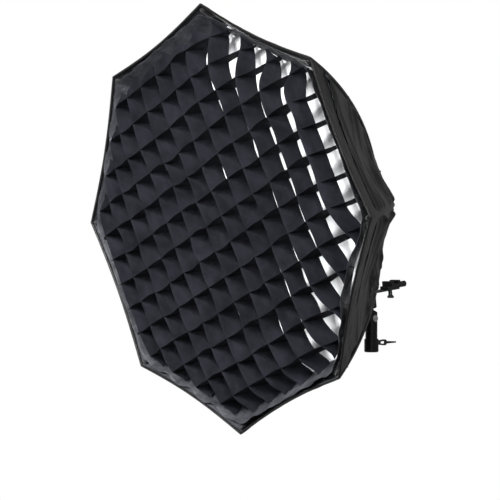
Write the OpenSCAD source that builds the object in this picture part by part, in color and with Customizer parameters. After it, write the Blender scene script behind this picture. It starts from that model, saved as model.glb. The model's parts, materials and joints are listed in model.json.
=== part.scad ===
// Octagonal studio softbox for a shoe-mount flash: a fabric dome on eight sprung rods, a ring,
// an egg-crate grid, and a tilting bracket that clamps to a 5/8 inch light stand stud.
// The origin is the mouth of the stand socket, +Z runs up it and the light leaves towards -Y.

/* [Softbox] */
// Distance from the axis to a corner of the front octagon
corner_r = 350; // [325:5:375]
// Distance from the front edge back to the rear edge of the shell
dome_depth = 313; // [300:1:330]
// Distance from the axis to the rear edge of the shell
hub_r = 65; // [62:0.5:70]
// Angle that each rod bends through from the ring to its corner
rod_bend = 24; // [18:1:28]
// Thickness of the shell fabric with its hems
cloth_t = 1.6; // [1.2:0.1:2]
// How far each front edge bows in between two corners
rim_bow = 8; // [4:0.5:10]
// How far each panel is drawn in between two rods, at its middle
panel_sag = 18; // [8:1:24]
// Depth of the lip in front of the diffuser
lip_depth = 45; // [44:1:50]

/* [Rods] */
// Diameter of a rod
rod_d = 4; // [3:0.5:4]
// Length of the webbing pocket at a rod's tip
pocket_len = 26; // [18:1:32]
// Outer diameter of a webbing pocket
pocket_d = 8; // [7:0.5:9]

/* [Diffuser and grid] */
// Thickness of the diffuser cloth
diffuser_t = 1.2; // [0.8:0.1:1.6]
// Width of the hook-and-loop strip inside the lip
strip_w = 20; // [15:1:25]
// Number of grid cells across the opening
grid_cells = 14; // [10:2:16]
// Depth of the grid from front to back
grid_depth = 40.5; // [32:0.5:41]
// How far the middle of the grid swells out in front of the front edge
grid_swell = 33; // [6:1:40]
// Swell left at the border, where the strips are sewn down
edge_swell = 5; // [0:0.5:6]
// Distance from the border over which the swell rises
swell_rise = 37; // [20:1:60]
// Thickness of a grid strip
grid_t = 1.6; // [1.2:0.1:2]

/* [Speed ring] */
// Thickness of the ring along the axis
ring_t = 12; // [10:0.5:14]
// Width of the ring from its opening out to the shell
ring_width = 15; // [13:0.5:18]
// Outer diameter of a rod socket
socket_d = 10; // [8:0.5:11]
// Length of a rod socket in front of the ring
socket_len = 18; // [14:1:24]
// Depth that a rod's end reaches into the ring
rod_seat = 6; // [4:0.5:7]
// How far the rear collar reaches in over the ring's opening
collar_reach = 4; // [2:0.5:6]
// Thickness of the rear collar
collar_t = 2; // [1.5:0.1:2.5]
// Diameter of a small elastic loop on the collar
loop_d = 6.8; // [6:0.2:9]
// Diameter of the elastic cord
cord_d = 1.6; // [1.2:0.1:2]

/* [Bracket] */
// Tilt of the softbox at rest, with its front down
rest_tilt = 7; // [0:0.5:12]
// Height of the softbox axis above the tilt pivot
axis_rise = 204; // [195:1:215]
// Width of the upright bar
arm_w = 22; // [20:0.5:26]
// Thickness of the upright bar
arm_t = 4; // [3:0.5:5]
// Height of the upright bar's foot above the pivot
arm_foot = 17.5; // [16.5:0.5:20]
// Width of the slot in the upright bar
arm_slot_w = 6.4; // [5:0.2:8]
// Distance of the slot's lower end above the shoe plate
slot_rise = 20; // [15:1:30]
// Distance of the slot's upper end below the bar's top
slot_drop = 30; // [28:1:40]
// Thickness of the shoe plate
plate_t = 2.5; // [2:0.1:3]
// Height of the shoe plate's top above the pivot
plate_top = 45; // [43:0.5:50]
// Distance that the shoe plate reaches behind the upright bar
plate_reach = 65; // [63:1:72]
// Width of the shoe plate
plate_w = 22; // [20:0.5:24]

/* [Flash shoe] */
// Width of the flash shoe
shoe_w = 24; // [22:0.5:26]
// Distance of the thumb screw behind the upright bar's middle
shoe_screw_y = 50; // [48:0.5:52]
// Travel of the shoe along the plate, each way
shoe_travel = 5; // [3:0.5:5]
// Gap between the two jaws at rest
jaw_gap = 14; // [12:0.5:16]
// How far the rear jaw opens
jaw_travel = 5.5; // [4:0.5:5.5]
// Height of the groove for the flash foot
foot_groove = 2.3; // [2.1:0.1:2.6]
// Diameter of the jaw knob
knob_d = 10; // [8:0.5:10]

/* [Tilt head and stand socket] */
// Diameter of the light stand's stud
stud_d = 16; // [15.9:0.05:16.2]
// Depth of the stand socket
socket_depth = 38; // [34:1:42]
// Outer diameter of the socket's lower collar
collar_d = 24.5; // [24:0.5:28]
// Height of the socket's lower collar
collar_h = 23; // [20:0.5:26]
// Outer diameter of the socket's upper barrel
barrel_d = 20.5; // [20:0.1:22]
// Height of the tilt pivot above the socket's mouth
pivot_z = 58; // [56:0.5:64]
// Radius of the tilt tongue's round end
tongue_r = 9; // [8:0.5:9.5]
// Thickness of the tilt tongue
tongue_t = 5; // [4:0.5:6]
// Diameter of the tilt bolt
bolt_d = 6; // [5:0.5:6.5]
// Diameter of the tilt bolt's round head
bolt_head_d = 11.5; // [10:0.5:13]
// Height of the clamp lever above the socket's mouth
lever_z = 16; // [13:0.5:17]
// Length of the clamp lever from the socket's axis
lever_reach = 57; // [50:1:62]

/* [Hidden] */

SIDES = 8;
ACROSS = 6;                     // facets across one side
half_side = 180 / SIDES;
bottom_rib = 5;
fit = 0.05;                     // radial clearance of a turning or sliding fit
gap = 0.3;                      // clearance between pieces that move past each other
seat = 0.02;                    // clearance between pieces that rest on each other
$fn = 48;

// The rods bend along one arc, which is the shell's ridge at every corner.
chord = norm([dome_depth, corner_r - hub_r]);
arc_r = chord / (2 * sin(rod_bend / 2));
rim_angle = atan2(corner_r - hub_r, dome_depth) - rod_bend / 2;
hub_angle = rim_angle + rod_bend;
arc_mid = [corner_r - arc_r * cos(rim_angle), -arc_r * sin(rim_angle)];    // [radius, depth]

function clock(k) = -90 + 360 / SIDES * (k - 1);
function ridge_angle(t) = rim_angle + rod_bend * t;
function ridge_r(t) = arc_mid[0] + arc_r * cos(ridge_angle(t));
function ridge_z(t) = arc_mid[1] + arc_r * sin(ridge_angle(t));
function ridge_at(z) = (asin((z - arc_mid[1]) / arc_r) - rim_angle) / rod_bend;
function drawn_in(t) = rim_bow * (1 - t) + panel_sag * pow(sin(180 * t), 2);

// Radius of the shell at u = -1..1 across a panel and t = 0..1 along it: flat sides, round hub.
function shell_r(u, t) =
    ridge_r(t) * ((1 - pow(t, 3)) * cos(half_side) / cos(half_side * u) + pow(t, 3))
    - drawn_in(t) * (1 - u * u);

t_strip = ridge_at(lip_depth - strip_w);
t_lip = ridge_at(lip_depth);
rim_cloth = cloth_t / cos(half_side);
ring_r = hub_r - cloth_t - gap;
ring_bore_r = hub_r - ring_width;
collar_r = ring_bore_r - collar_reach;
arm_plane = dome_depth + seat + arm_t / 2;

// Rods lie inside the ridge, far enough in for a pocket to clear both walls of a corner.
rod_inset = rim_cloth + 1.5 * pocket_d / 2 + gap;
rod_arc = arc_r - rod_inset;
function rod_r(z) = arc_mid[0] + sqrt(pow(rod_arc, 2) - pow(z - arc_mid[1], 2));
tip_angle = rim_angle + 0.5;
pocket_start = 0.25;            // degrees of arc from the rim to the closed end of a pocket
pocket_arc = pocket_len / rod_arc * 180 / PI;
seat_arc = rod_seat / rod_arc * 180 / PI;
ring_front = dome_depth - ring_t;
socket_mouth = socket_len / rod_arc * 180 / PI;

// The grid drops into the lip with a clearance, tapers with it and misses the rods' pockets.
grid_gap = 2.5;
grid_front = 1;
grid_rear = grid_front + grid_depth;
strip_t = 1.2;                  // thickness of the hook-and-loop strip
function lip_corner(z) =
    ridge_r(ridge_at(z))
    - (cloth_t + strip_t + drawn_in(ridge_at(z)) + grid_gap) / cos(half_side);
grid_taper = (lip_corner(grid_front) - lip_corner(grid_rear)) / grid_depth;
function grid_corner(z) = lip_corner(grid_front) - grid_taper * (z - grid_front);
grid_apothem = lip_corner(grid_front) * cos(half_side);
grid_pitch = 2 * grid_apothem / grid_cells;

// Distance of a point of the grid from the nearest side of the outline, smoothed at its corners.
inset_power = 24;               // a higher power leaves the corners sharper
function grid_inset(x, y) =
    max(0, grid_apothem - pow(pow(abs(x), inset_power) + pow(abs(y), inset_power)
        + pow((abs(x) + abs(y)) / sqrt(2), inset_power), 1 / inset_power));
function swell(x, y) =
    edge_swell + (grid_swell - edge_swell) * (1 - exp(-grid_inset(x, y) / swell_rise));

// Heights in the tilted frame, measured from the pivot.
shoe_z = plate_top + gap;
shoe_block_t = 7.2;
tray_z = shoe_z + shoe_block_t;
pad_t = 0.4;                    // raised pad that carries the flash foot
jaw_lip_t = 2.4;
jaw_lip_reach = 2;
jaw_close = 3;                  // how far the sliding jaw closes from rest
front_jaw_y = shoe_screw_y - 2; // inner face of the fixed jaw
front_wall = 4;
jaw_y = front_jaw_y + jaw_gap;  // inner face of the sliding jaw
jaw_wall = 5;
jaw_w = shoe_w - 4;
channel_w = 10;                 // groove in the base that guides the sliding jaw
channel_floor = 1;
end_wall = 3.5;
end_wall_y = jaw_y + jaw_wall + jaw_travel + 1;
shoe_front = shoe_screw_y - 14;
shoe_rear = end_wall_y + end_wall;
shoe_screw_d = 5;
knob_screw_d = 4;
knob_z = shoe_z + shoe_block_t / 2;
knob_len = 9;

// Tilt head and its screws.
fork_bottom = tongue_r + 2;
slot_w = tongue_t + 2 * gap;
cheek_x = barrel_d / 2 - 1.25;  // the fork's cheeks are milled flat for the bolt head and the lever
tilt_hub_d = 15;
bolt_head_t = 3;
bolt_end = 6;                   // length of the bolt inside the lever's hub
foot_t = 4;                     // foot of the tilt tongue, on the front of the upright bar
screw_d = 4;
screw_head_d = 7;
leg_len = plate_top - arm_foot - 1;
leg_screws = [arm_foot + 7, arm_foot + leg_len - 7];
ring_screw_x = arm_w / 4;
ring_screw_r = (ring_bore_r + ring_r) / 2;

// ---------- frames ----------

// The tilting head: origin at the pivot, y back, z up the upright bar.
module head() {
    translate([0, 0, pivot_z]) rotate([rest_tilt, 0, 0]) children();
}

// The softbox: z runs back from the front edge along the axis, and y runs down.
module box_axis() {
    head() translate([0, -arm_plane, axis_rise]) rotate([-90, 0, 0]) children();
}

// ---------- fabric ----------

// Points of a closed sheet along the shell: a grid over angle and depth, with a wall inside it.
function sheet_points(cols, rows, inset, wall) = [
    for (side = [0, 1]) for (t = rows) for (c = cols)
        let (r = shell_r(c[1], t) - inset - wall * side)
        [r * cos(c[0]), r * sin(c[0]), ridge_z(t)]];

function quad(a, b, c, d) = [[a, b, c], [a, c, d]];
function flatten(list) = [for (l = list) for (item = l) item];

function sheet_faces(m, n, closed) =
    let (last = closed ? m - 1 : m - 2, in = m * n)
    flatten([
        for (j = [0:n - 2]) for (i = [0:last])
            let (i2 = (i + 1) % m, a = j * m + i, b = j * m + i2, c = a + m, d = b + m)
            concat(quad(a, b, d, c), quad(in + a, in + c, in + d, in + b)),
        for (i = [0:last])
            let (i2 = (i + 1) % m, e = (n - 1) * m)
            concat(quad(i, in + i, in + i2, i2), quad(e + i, e + i2, in + e + i2, in + e + i)),
        if (!closed) for (j = [0:n - 2])
            let (a = j * m, b = a + m, c = a + m - 1, d = c + m)
            concat(quad(a, b, in + b, in + a), quad(c, in + c, in + d, d))]);

// One band right round the softbox, through the given rows of t.
module band(rows, inset, wall) {
    cols = [for (k = [1:SIDES]) for (i = [0:ACROSS - 1])
        let (u = -1 + 2 * i / ACROSS) [clock(k) + half_side * (1 + u), u]];
    polyhedron(sheet_points(cols, rows, inset, wall), sheet_faces(len(cols), len(rows), true));
}

// One shell panel from the lip to the ring.
module panel(k) {
    steps = 12;
    cols = [for (i = [0:ACROSS]) let (u = -1 + 2 * i / ACROSS) [clock(k) + half_side * (1 + u), u]];
    rows = [for (i = [0:steps]) t_lip + (1 - t_lip) * i / steps];
    polyhedron(sheet_points(cols, rows, 0, cloth_t), sheet_faces(len(cols), len(rows), false));
}

module shell_panel(k) {
    color([0.07, 0.07, 0.075]) box_axis() panel(k);
}

module front_lip() {
    color([0.06, 0.06, 0.065]) box_axis() band([0, t_strip, t_lip], 0, cloth_t);
}

module hook_strip() {
    color([0.03, 0.03, 0.03]) box_axis() band([t_strip, t_lip], cloth_t + seat, strip_t);
}

module front_diffuser() {
    rear = lip_depth + seat + diffuser_t;
    outline = [for (k = [1:SIDES]) for (i = [0:ACROSS - 1])
        let (u = -1 + 2 * i / ACROSS, r = shell_r(u, ridge_at(rear)) - cloth_t - gap,
             a = clock(k) + half_side * (1 + u))
        [r * cos(a), r * sin(a)]];
    notch = rod_d + 2 * gap;
    color([0.95, 0.95, 0.94]) box_axis()
        translate([0, 0, lip_depth + seat]) linear_extrude(diffuser_t) difference() {
            polygon(outline);
            for (k = [1:SIDES]) rotate(clock(k)) translate([rod_r(rear) - notch, -notch / 2])
                square([corner_r, notch]);
        }
}

// ---------- grid ----------

// Eight-sided cone between two depths, with its corners at the rods.
module eight_sided(z0, z1, r0, r1) {
    translate([0, 0, z0]) cylinder(h = z1 - z0, r1 = r0, r2 = r1, $fn = SIDES);
}

module grid_border() {
    wall = grid_t / cos(half_side);
    color([0.06, 0.06, 0.07]) box_axis() difference() {
        eight_sided(grid_front, grid_rear, grid_corner(grid_front), grid_corner(grid_rear));
        eight_sided(grid_front - 1, grid_rear + 1,
            grid_corner(grid_front - 1) - wall, grid_corner(grid_rear + 1) - wall);
    }
}

// One strip of the lattice at a distance x from the axis, straight from crossing to crossing.
module grid_strip(x) {
    ys = [for (j = [-grid_cells / 2:grid_cells / 2]) j * grid_pitch];
    edge = [for (y = ys) [y, -swell(x, y)]];
    translate([x - grid_t / 2, 0, 0]) rotate([90, 0, 90]) linear_extrude(grid_t)
        polygon([each edge, for (i = [len(edge) - 1:-1:0]) edge[i] + [0, grid_depth]]);
}

module grid_lattice() {
    last = grid_cells / 2 - 1;
    inner = (grid_t + seat) / cos(half_side);
    front_r = grid_corner(grid_front) - inner;
    color([0.08, 0.08, 0.09]) box_axis() intersection() {
        rotate(-half_side) for (k = [-last:last], turn = [0, 90])
            rotate(turn) grid_strip(k * grid_pitch);
        union() {
            eight_sided(-grid_swell - edge_swell, grid_front, front_r, front_r);
            eight_sided(grid_front, grid_rear, front_r, grid_corner(grid_rear) - inner);
        }
    }
}

// ---------- rods ----------

// A piece of the rod arc, between two angles of the ridge, with radius r.
module arc_bar(a0, a1, r) {
    translate([arc_mid[0], 0, arc_mid[1]]) rotate([90, 0, 0]) rotate(a0)
        rotate_extrude(angle = a1 - a0) translate([rod_arc, 0]) circle(r = r);
}

module rod(k) {
    color([0.2, 0.2, 0.2]) box_axis() rotate(clock(k))
        arc_bar(tip_angle, hub_angle + seat_arc, rod_d / 2);
}

module rod_pockets() {
    color([0.04, 0.04, 0.04]) box_axis() for (k = [1:SIDES]) rotate(clock(k)) difference() {
        arc_bar(rim_angle + pocket_start, rim_angle + pocket_start + pocket_arc, pocket_d / 2);
        arc_bar(tip_angle - 0.02, hub_angle, rod_d / 2 + fit);
    }
}

// ---------- speed ring ----------

module speed_ring() {
    edge = 1.5;
    color([0.1, 0.1, 0.1]) box_axis() difference() {
        union() {
            rotate_extrude($fn = 96) polygon([
                [ring_bore_r, ring_front + edge], [ring_bore_r + edge, ring_front],
                [ring_r - edge, ring_front], [ring_r, ring_front + edge],
                [ring_r, dome_depth], [ring_bore_r, dome_depth]]);
            for (k = [1:SIDES]) rotate(clock(k)) rod_end() translate([0, 0, -socket_len])
                cylinder(d = socket_d, h = socket_len + rod_seat);
        }
        for (k = [1:SIDES]) rotate(clock(k))
            arc_bar(hub_angle - 2 * socket_mouth, hub_angle + seat_arc + 0.02, rod_d / 2 + fit);
        translate([0, 0, dome_depth]) cylinder(r = corner_r, h = ring_t);
        for (side = [-1, 1]) translate([side * ring_screw_x, ring_screw_r, dome_depth - 8])
            cylinder(d = screw_d + 2 * fit, h = 9);
    }
}

// The frame of a rod's end: z runs along the rod towards the ring.
module rod_end() {
    translate([arc_mid[0] + rod_arc * cos(hub_angle), 0, arc_mid[1] + rod_arc * sin(hub_angle)])
        rotate([0, -hub_angle, 0]) children();
}

module rear_collar() {
    bead = 1.8;
    color([0.05, 0.05, 0.05]) box_axis() difference() {
        translate([0, 0, dome_depth + seat]) rotate_extrude($fn = 96) union() {
            translate([collar_r, 0]) square([hub_r - collar_r, collar_t]);
            translate([collar_r, bead]) circle(r = bead, $fn = 24);
        }
        translate([-arm_w / 2 - gap, 0, dome_depth - 1])
            cube([arm_w + 2 * gap, 2 * hub_r, collar_t + 2 * bead + 2]);
    }
}

module collar_loops() {
    color([0.03, 0.03, 0.03]) box_axis() for (k = [1:SIDES]) if (k != bottom_rib) rotate(clock(k))
        translate([hub_r - cord_d / 2, 0, dome_depth + collar_t + (loop_d + cord_d) / 2 + 2 * seat])
            rotate([90, 0, 0]) rotate_extrude() translate([loop_d / 2, 0])
                circle(d = cord_d, $fn = 16);
}

// ---------- bracket ----------

module bar_outline(w, y0, y1, round_r) {
    hull() {
        for (side = [-1, 1])
            translate([side * (w / 2 - round_r), y1 - round_r]) circle(r = round_r);
        translate([-w / 2, y0]) square([w, 1]);
    }
}

// Cutter for a round-ended slot: w wide, its end circles len apart along y.
module long_hole(w, len, h) {
    for (y = [0, len]) translate([0, y, 0]) cylinder(d = w, h = h);
    translate([-w / 2, 0, 0]) cube([w, len, h]);
}

module ring_arm() {
    top = axis_rise - ring_bore_r - 1;
    slot_foot = plate_top + slot_rise;
    slot_top = top - slot_drop;
    color([0.08, 0.08, 0.08]) head() translate([0, arm_t / 2, 0]) rotate([90, 0, 0]) difference() {
        linear_extrude(arm_t) bar_outline(arm_w, arm_foot, top, 5);
        for (side = [-1, 1])
            translate([side * ring_screw_x, axis_rise - ring_screw_r, -1])
                cylinder(d = screw_d + 2 * fit, h = arm_t + 2);
        for (z = leg_screws) translate([0, z, -1]) cylinder(d = screw_d + 2 * fit, h = arm_t + 2);
        translate([0, slot_foot, -1]) long_hole(arm_slot_w, slot_top - slot_foot, arm_t + 2);
    }
}

// A button-head screw along +z, with its head at z = 0 and its shank below.
module button_screw(len) {
    head_t = 2.4;
    crown_r = 0.8 * screw_head_d;
    hex_d = 2.6;
    difference() {
        intersection() {
            cylinder(d = screw_head_d, h = head_t);
            translate([0, 0, head_t - crown_r]) sphere(r = crown_r);
        }
        translate([0, 0, head_t / 2]) cylinder(d = hex_d, h = head_t, $fn = 6);
    }
    translate([0, 0, -len]) cylinder(d = screw_d, h = len);
}

module ring_screws() {
    color([0.35, 0.35, 0.36]) head() for (side = [-1, 1])
        translate([side * ring_screw_x, arm_t / 2 + seat, axis_rise - ring_screw_r])
            rotate([-90, 0, 0]) button_screw(arm_t + 6);
}

// Bent plate: a slotted shelf behind the upright bar and a leg down its rear face.
module shoe_plate() {
    y0 = arm_t / 2 + seat;
    bend = 3;
    plate_corner_r = 4;
    color([0.1, 0.1, 0.1]) head() difference() {
        translate([-plate_w / 2, 0, 0]) rotate([90, 0, 90]) linear_extrude(plate_w) difference() {
            union() {
                translate([y0, plate_top - leg_len]) square([plate_t, leg_len - bend]);
                translate([y0 + bend, plate_top - plate_t])
                    square([plate_reach - y0 - bend, plate_t]);
                translate([y0 + bend, plate_top - bend]) intersection() {
                    circle(r = bend);
                    translate([-bend, 0]) square(bend);
                }
            }
            translate([y0 + bend, plate_top - bend]) circle(r = bend - plate_t);
        }
        for (z = leg_screws) translate([0, 0, z]) rotate([-90, 0, 0])
            cylinder(d = screw_d + 2 * fit, h = plate_reach);
        translate([0, 0, plate_top - plate_t - 1]) {
            translate([0, shoe_screw_y - shoe_travel, 0])
                long_hole(shoe_screw_d + 2 * gap, 2 * shoe_travel, plate_t + 2);
            for (side = [0, 1]) mirror([side, 0, 0]) translate([plate_w / 2, plate_reach, 0])
                corner_cut(plate_corner_r, plate_t + 2);
        }
    }
}

// Cutter that rounds an upright edge at the origin to radius r.
module corner_cut(r, h) {
    translate([-r, -r, 0]) difference() {
        cube([2 * r, 2 * r, h]);
        translate([0, 0, -1]) cylinder(r = r, h = h + 2);
    }
}

module plate_screws() {
    color([0.35, 0.35, 0.36]) head() for (z = leg_screws)
        translate([0, arm_t / 2 + plate_t + 2 * seat, z]) rotate([-90, 0, 0])
            button_screw(arm_t + plate_t + foot_t);
}

// Tilt tongue: a round-ended plate in the fork, with a foot on the front of the upright bar.
module tilt_tongue() {
    foot_w = arm_w - 2;
    y1 = -arm_t / 2 - seat;
    color([0.12, 0.12, 0.12]) head() difference() {
        union() {
            translate([-tongue_t / 2, 0, 0]) rotate([90, 0, 90]) linear_extrude(tongue_t) {
                circle(r = tongue_r);
                translate([-tongue_r + 1, 0]) square([tongue_r, arm_foot + 4]);
                translate([-1, 0]) square([tongue_r - 3, arm_foot - 1]);
            }
            translate([0, y1, 0]) rotate([90, 0, 0]) linear_extrude(foot_t)
                bar_outline(foot_w, arm_foot, arm_foot + leg_len, 4);
        }
        rotate([0, 90, 0]) cylinder(d = bolt_d + 2 * fit, h = tongue_t + 2, center = true);
        for (z = leg_screws) translate([0, 1, z]) rotate([90, 0, 0])
            cylinder(d = screw_d + 2 * fit, h = arm_w);
        translate([-arm_w, y1, arm_foot - seat]) cube([2 * arm_w, arm_w, arm_w]);
    }
}

// ---------- flash shoe ----------

// A jaw above the tray with its inward lip, drawn from the inner face outwards.
module jaw_profile(wall) {
    groove = pad_t + foot_groove;
    top = groove + jaw_lip_t;
    edge = 0.6;
    polygon([
        [0, 0], [wall, 0], [wall, top - edge], [wall - edge, top],
        [-jaw_lip_reach + edge, top], [-jaw_lip_reach, top - edge],
        [-jaw_lip_reach, groove], [0, groove]]);
}

module shoe_base() {
    deck_t = 3;
    shoe_corner_r = 4;
    deck_z = tray_z - deck_t;
    channel_y = jaw_y - jaw_close - gap;
    pad_y = front_jaw_y + jaw_lip_reach + gap;
    color([0.07, 0.07, 0.07]) head() difference() {
        union() {
            translate([-shoe_w / 2, shoe_front, shoe_z])
                cube([shoe_w, shoe_rear - shoe_front, deck_z - shoe_z]);
            translate([-shoe_w / 2, front_jaw_y - front_wall, deck_z])
                cube([shoe_w, shoe_rear - front_jaw_y + front_wall, deck_t]);
            translate([-shoe_w / 2, front_jaw_y, tray_z]) rotate([90, 0, 90]) linear_extrude(shoe_w)
                mirror([1, 0]) jaw_profile(front_wall);
            translate([-shoe_w / 2, pad_y, tray_z]) cube([shoe_w, channel_y - pad_y, pad_t]);
            translate([-knob_d / 2, end_wall_y, shoe_z])
                cube([knob_d, end_wall, shoe_block_t + 1.5]);
        }
        translate([-channel_w / 2 - gap, channel_y, shoe_z + channel_floor])
            cube([channel_w + 2 * gap, end_wall_y - channel_y, 2 * shoe_block_t]);
        translate([0, shoe_screw_y, shoe_z - 1])
            cylinder(d = shoe_screw_d + 2 * fit, h = shoe_block_t - 0.5);
        translate([0, 0, knob_z]) rotate([-90, 0, 0])
            cylinder(d = knob_screw_d + 2 * fit, h = 2 * shoe_rear);
        for (side = [0, 1]) mirror([side, 0, 0]) translate([shoe_w / 2, shoe_front, shoe_z - 1])
            mirror([0, 1, 0]) corner_cut(shoe_corner_r, 2 * shoe_block_t);
    }
}

module shoe_jaw() {
    color([0.05, 0.05, 0.05]) head() difference() {
        union() {
            translate([-jaw_w / 2, jaw_y, tray_z + gap]) rotate([90, 0, 90]) linear_extrude(jaw_w)
                jaw_profile(jaw_wall);
            translate([-channel_w / 2, jaw_y, shoe_z + channel_floor + gap])
                cube([channel_w, jaw_wall, shoe_block_t + gap]);
        }
        translate([0, jaw_y - 1, knob_z]) rotate([-90, 0, 0])
            cylinder(d = knob_screw_d + 2 * fit, h = jaw_wall + 2);
    }
}

// Knurled knob with its screw, which runs through the end wall into the jaw.
module shoe_knob() {
    y0 = shoe_rear + gap;
    grips = 12;
    color([0.04, 0.04, 0.04]) head() translate([0, y0, knob_z]) rotate([-90, 0, 0]) {
        difference() {
            cylinder(d = knob_d, h = knob_len);
            for (i = [0:grips - 1]) rotate(360 / grips * i) translate([knob_d / 2 + 0.4, 0, 1.5])
                cylinder(r = 0.9, h = knob_len, $fn = 16);
        }
        translate([0, 0, -(y0 - jaw_y) - 1]) cylinder(d = knob_screw_d, h = y0 - jaw_y + 1);
    }
}

// Wing screw under the plate, threaded up into the shoe.
module shoe_thumb_screw() {
    neck = 9;
    wing_h = 6;
    wing_w = 14;
    wing_t = 2.8;
    tip_r = 2;
    z0 = plate_top - plate_t - gap;
    color([0.3, 0.3, 0.3]) head() translate([0, shoe_screw_y, 0]) {
        translate([0, 0, z0 - neck])
            cylinder(d = shoe_screw_d, h = neck + plate_t + shoe_block_t - 1.5);
        translate([0, 0, z0 - neck]) cylinder(d = shoe_screw_d + 2, h = neck);
        translate([0, wing_t / 2, z0 - neck - wing_h + 1]) rotate([90, 0, 0])
            linear_extrude(wing_t) hull() for (side = [-1, 1]) {
                translate([side * (wing_w / 2 - tip_r), tip_r]) circle(r = tip_r);
                translate([side * shoe_screw_d / 2, wing_h - tip_r / 2]) circle(r = tip_r / 2);
            }
    }
}

// ---------- tilt head and stand socket ----------

module stand_socket() {
    top_r = 14.5;
    groove = 0.6;
    rib_z = 33;
    color([0.09, 0.09, 0.09]) difference() {
        union() {
            rotate_extrude() polygon([
                [0, 0], [collar_d / 2 - 1.5, 0], [collar_d / 2, 1.5], [collar_d / 2, collar_h - 1],
                [collar_d / 2 - 1, collar_h], [barrel_d / 2, collar_h],
                [barrel_d / 2, rib_z - groove], [barrel_d / 2 - groove, rib_z],
                [barrel_d / 2, rib_z + groove], [barrel_d / 2, pivot_z], [0, pivot_z]]);
            intersection() {
                translate([0, 0, pivot_z - 1]) cylinder(d = barrel_d, h = top_r + 1);
                translate([0, 0, pivot_z]) sphere(r = top_r);
            }
        }
        translate([0, 0, -1]) cylinder(d = stud_d + 4 * fit, h = socket_depth + 1);
        translate([-slot_w / 2, -barrel_d, pivot_z - fork_bottom])
            cube([slot_w, 2 * barrel_d, fork_bottom + top_r + 1]);
        translate([0, 0, pivot_z]) rotate([0, 90, 0])
            cylinder(d = bolt_d + 2 * fit, h = 2 * barrel_d, center = true);
        for (side = [0, 1]) mirror([side, 0, 0])
            translate([cheek_x, -barrel_d, pivot_z - tilt_hub_d / 2 - 1])
                cube([barrel_d, 2 * barrel_d, 2 * barrel_d]);
        translate([0, 0, lever_z]) rotate([-90, 0, 0]) cylinder(d = bolt_d + 2 * fit, h = collar_d);
    }
}

module tilt_bolt() {
    color([0.75, 0.75, 0.76]) translate([0, 0, pivot_z]) rotate([0, 90, 0]) {
        translate([0, 0, cheek_x + seat]) intersection() {
            cylinder(d = bolt_head_d, h = bolt_head_t);
            translate([0, 0, bolt_head_t - bolt_head_d]) sphere(r = bolt_head_d);
        }
        translate([0, 0, -cheek_x - bolt_end])
            cylinder(d = bolt_d, h = 2 * cheek_x + bolt_end + bolt_head_t / 2);
    }
}

// Ratchet lever that tightens the fork on the tongue.
module tilt_lever() {
    hub_h = 9;
    blade_t = 5;
    blade_w = 9;
    blade_len = 40;
    blade_inset = 0.4;          // the hub stands this far out past the blade
    hang = -115;                // angle of the blade from straight up, towards the front
    color([0.05, 0.05, 0.05]) translate([-cheek_x - gap, 0, pivot_z]) rotate([0, -90, 0])
        difference() {
            union() {
                cylinder(d = tilt_hub_d, h = hub_h);
                translate([0, 0, hub_h - blade_t - blade_inset]) rotate(hang)
                    linear_extrude(blade_t) hull() {
                        circle(d = blade_w);
                        translate([blade_len, 0]) circle(d = blade_w - 2);
                    }
            }
            translate([0, 0, -1]) cylinder(d = bolt_d + 2 * fit, h = bolt_end + 1.5);
        }
}

// Egg outline: two circles of the radii r, len apart along y.
module egg(middle, len, r) {
    hull() for (end = [0, 1]) translate([0, middle + (end - 0.5) * len]) circle(r = r[end]);
}

// Stand clamp: a screw with an eye-shaped grip that ends in a tapered tail.
module stand_lever() {
    neck_y = collar_d / 2 + gap;
    neck_len = 4;
    eye_y = neck_y + 12.5;      // middle of the eye
    eye_r = [4.2, 5.2];         // outer radius of the eye at its near and far end
    hole_r = [1.6, 2.6];
    eye_len = 10;
    tail_w = [4.4, 2.4];
    tail_y = eye_y + eye_len / 2 + eye_r[1] - 1;
    grip_t = 4.5;
    color([0.04, 0.04, 0.04]) translate([0, 0, lever_z]) rotate([-90, 0, 0]) {
        translate([0, 0, stud_d / 2 + 4 * fit]) cylinder(d = bolt_d, h = neck_y - stud_d / 2 + 2);
        translate([0, 0, neck_y]) cylinder(d = bolt_d + 2.5, h = neck_len);
        translate([-grip_t / 2, 0, 0]) rotate([90, 0, 90]) linear_extrude(grip_t) {
            difference() {
                egg(eye_y, eye_len, eye_r);
                egg(eye_y + 0.5, eye_len - 2, hole_r);
            }
            polygon([[-tail_w[0] / 2, tail_y], [tail_w[0] / 2, tail_y],
                [tail_w[1] / 2, lever_reach], [-tail_w[1] / 2, lever_reach]]);
        }
    }
}

// ---------- nodes ----------

front_lip();
for (k = [1:SIDES]) shell_panel(k);
for (k = [1:SIDES]) rod(k);
rod_pockets();
hook_strip();
front_diffuser();
grid_border();
grid_lattice();
speed_ring();
rear_collar();
collar_loops();
ring_arm();
ring_screws();
shoe_plate();
plate_screws();
shoe_base();
shoe_jaw();
shoe_knob();
shoe_thumb_screw();
tilt_tongue();
stand_socket();
tilt_bolt();
tilt_lever();
stand_lever();
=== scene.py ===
"""Octagonal studio softbox with a fabric egg-crate grid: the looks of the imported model."""
import json
import logging
import math
from dataclasses import dataclass, field
from enum import Enum
from typing import Sequence

import bmesh
import bpy
import numpy as np
from mathutils import Matrix, Vector


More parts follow.
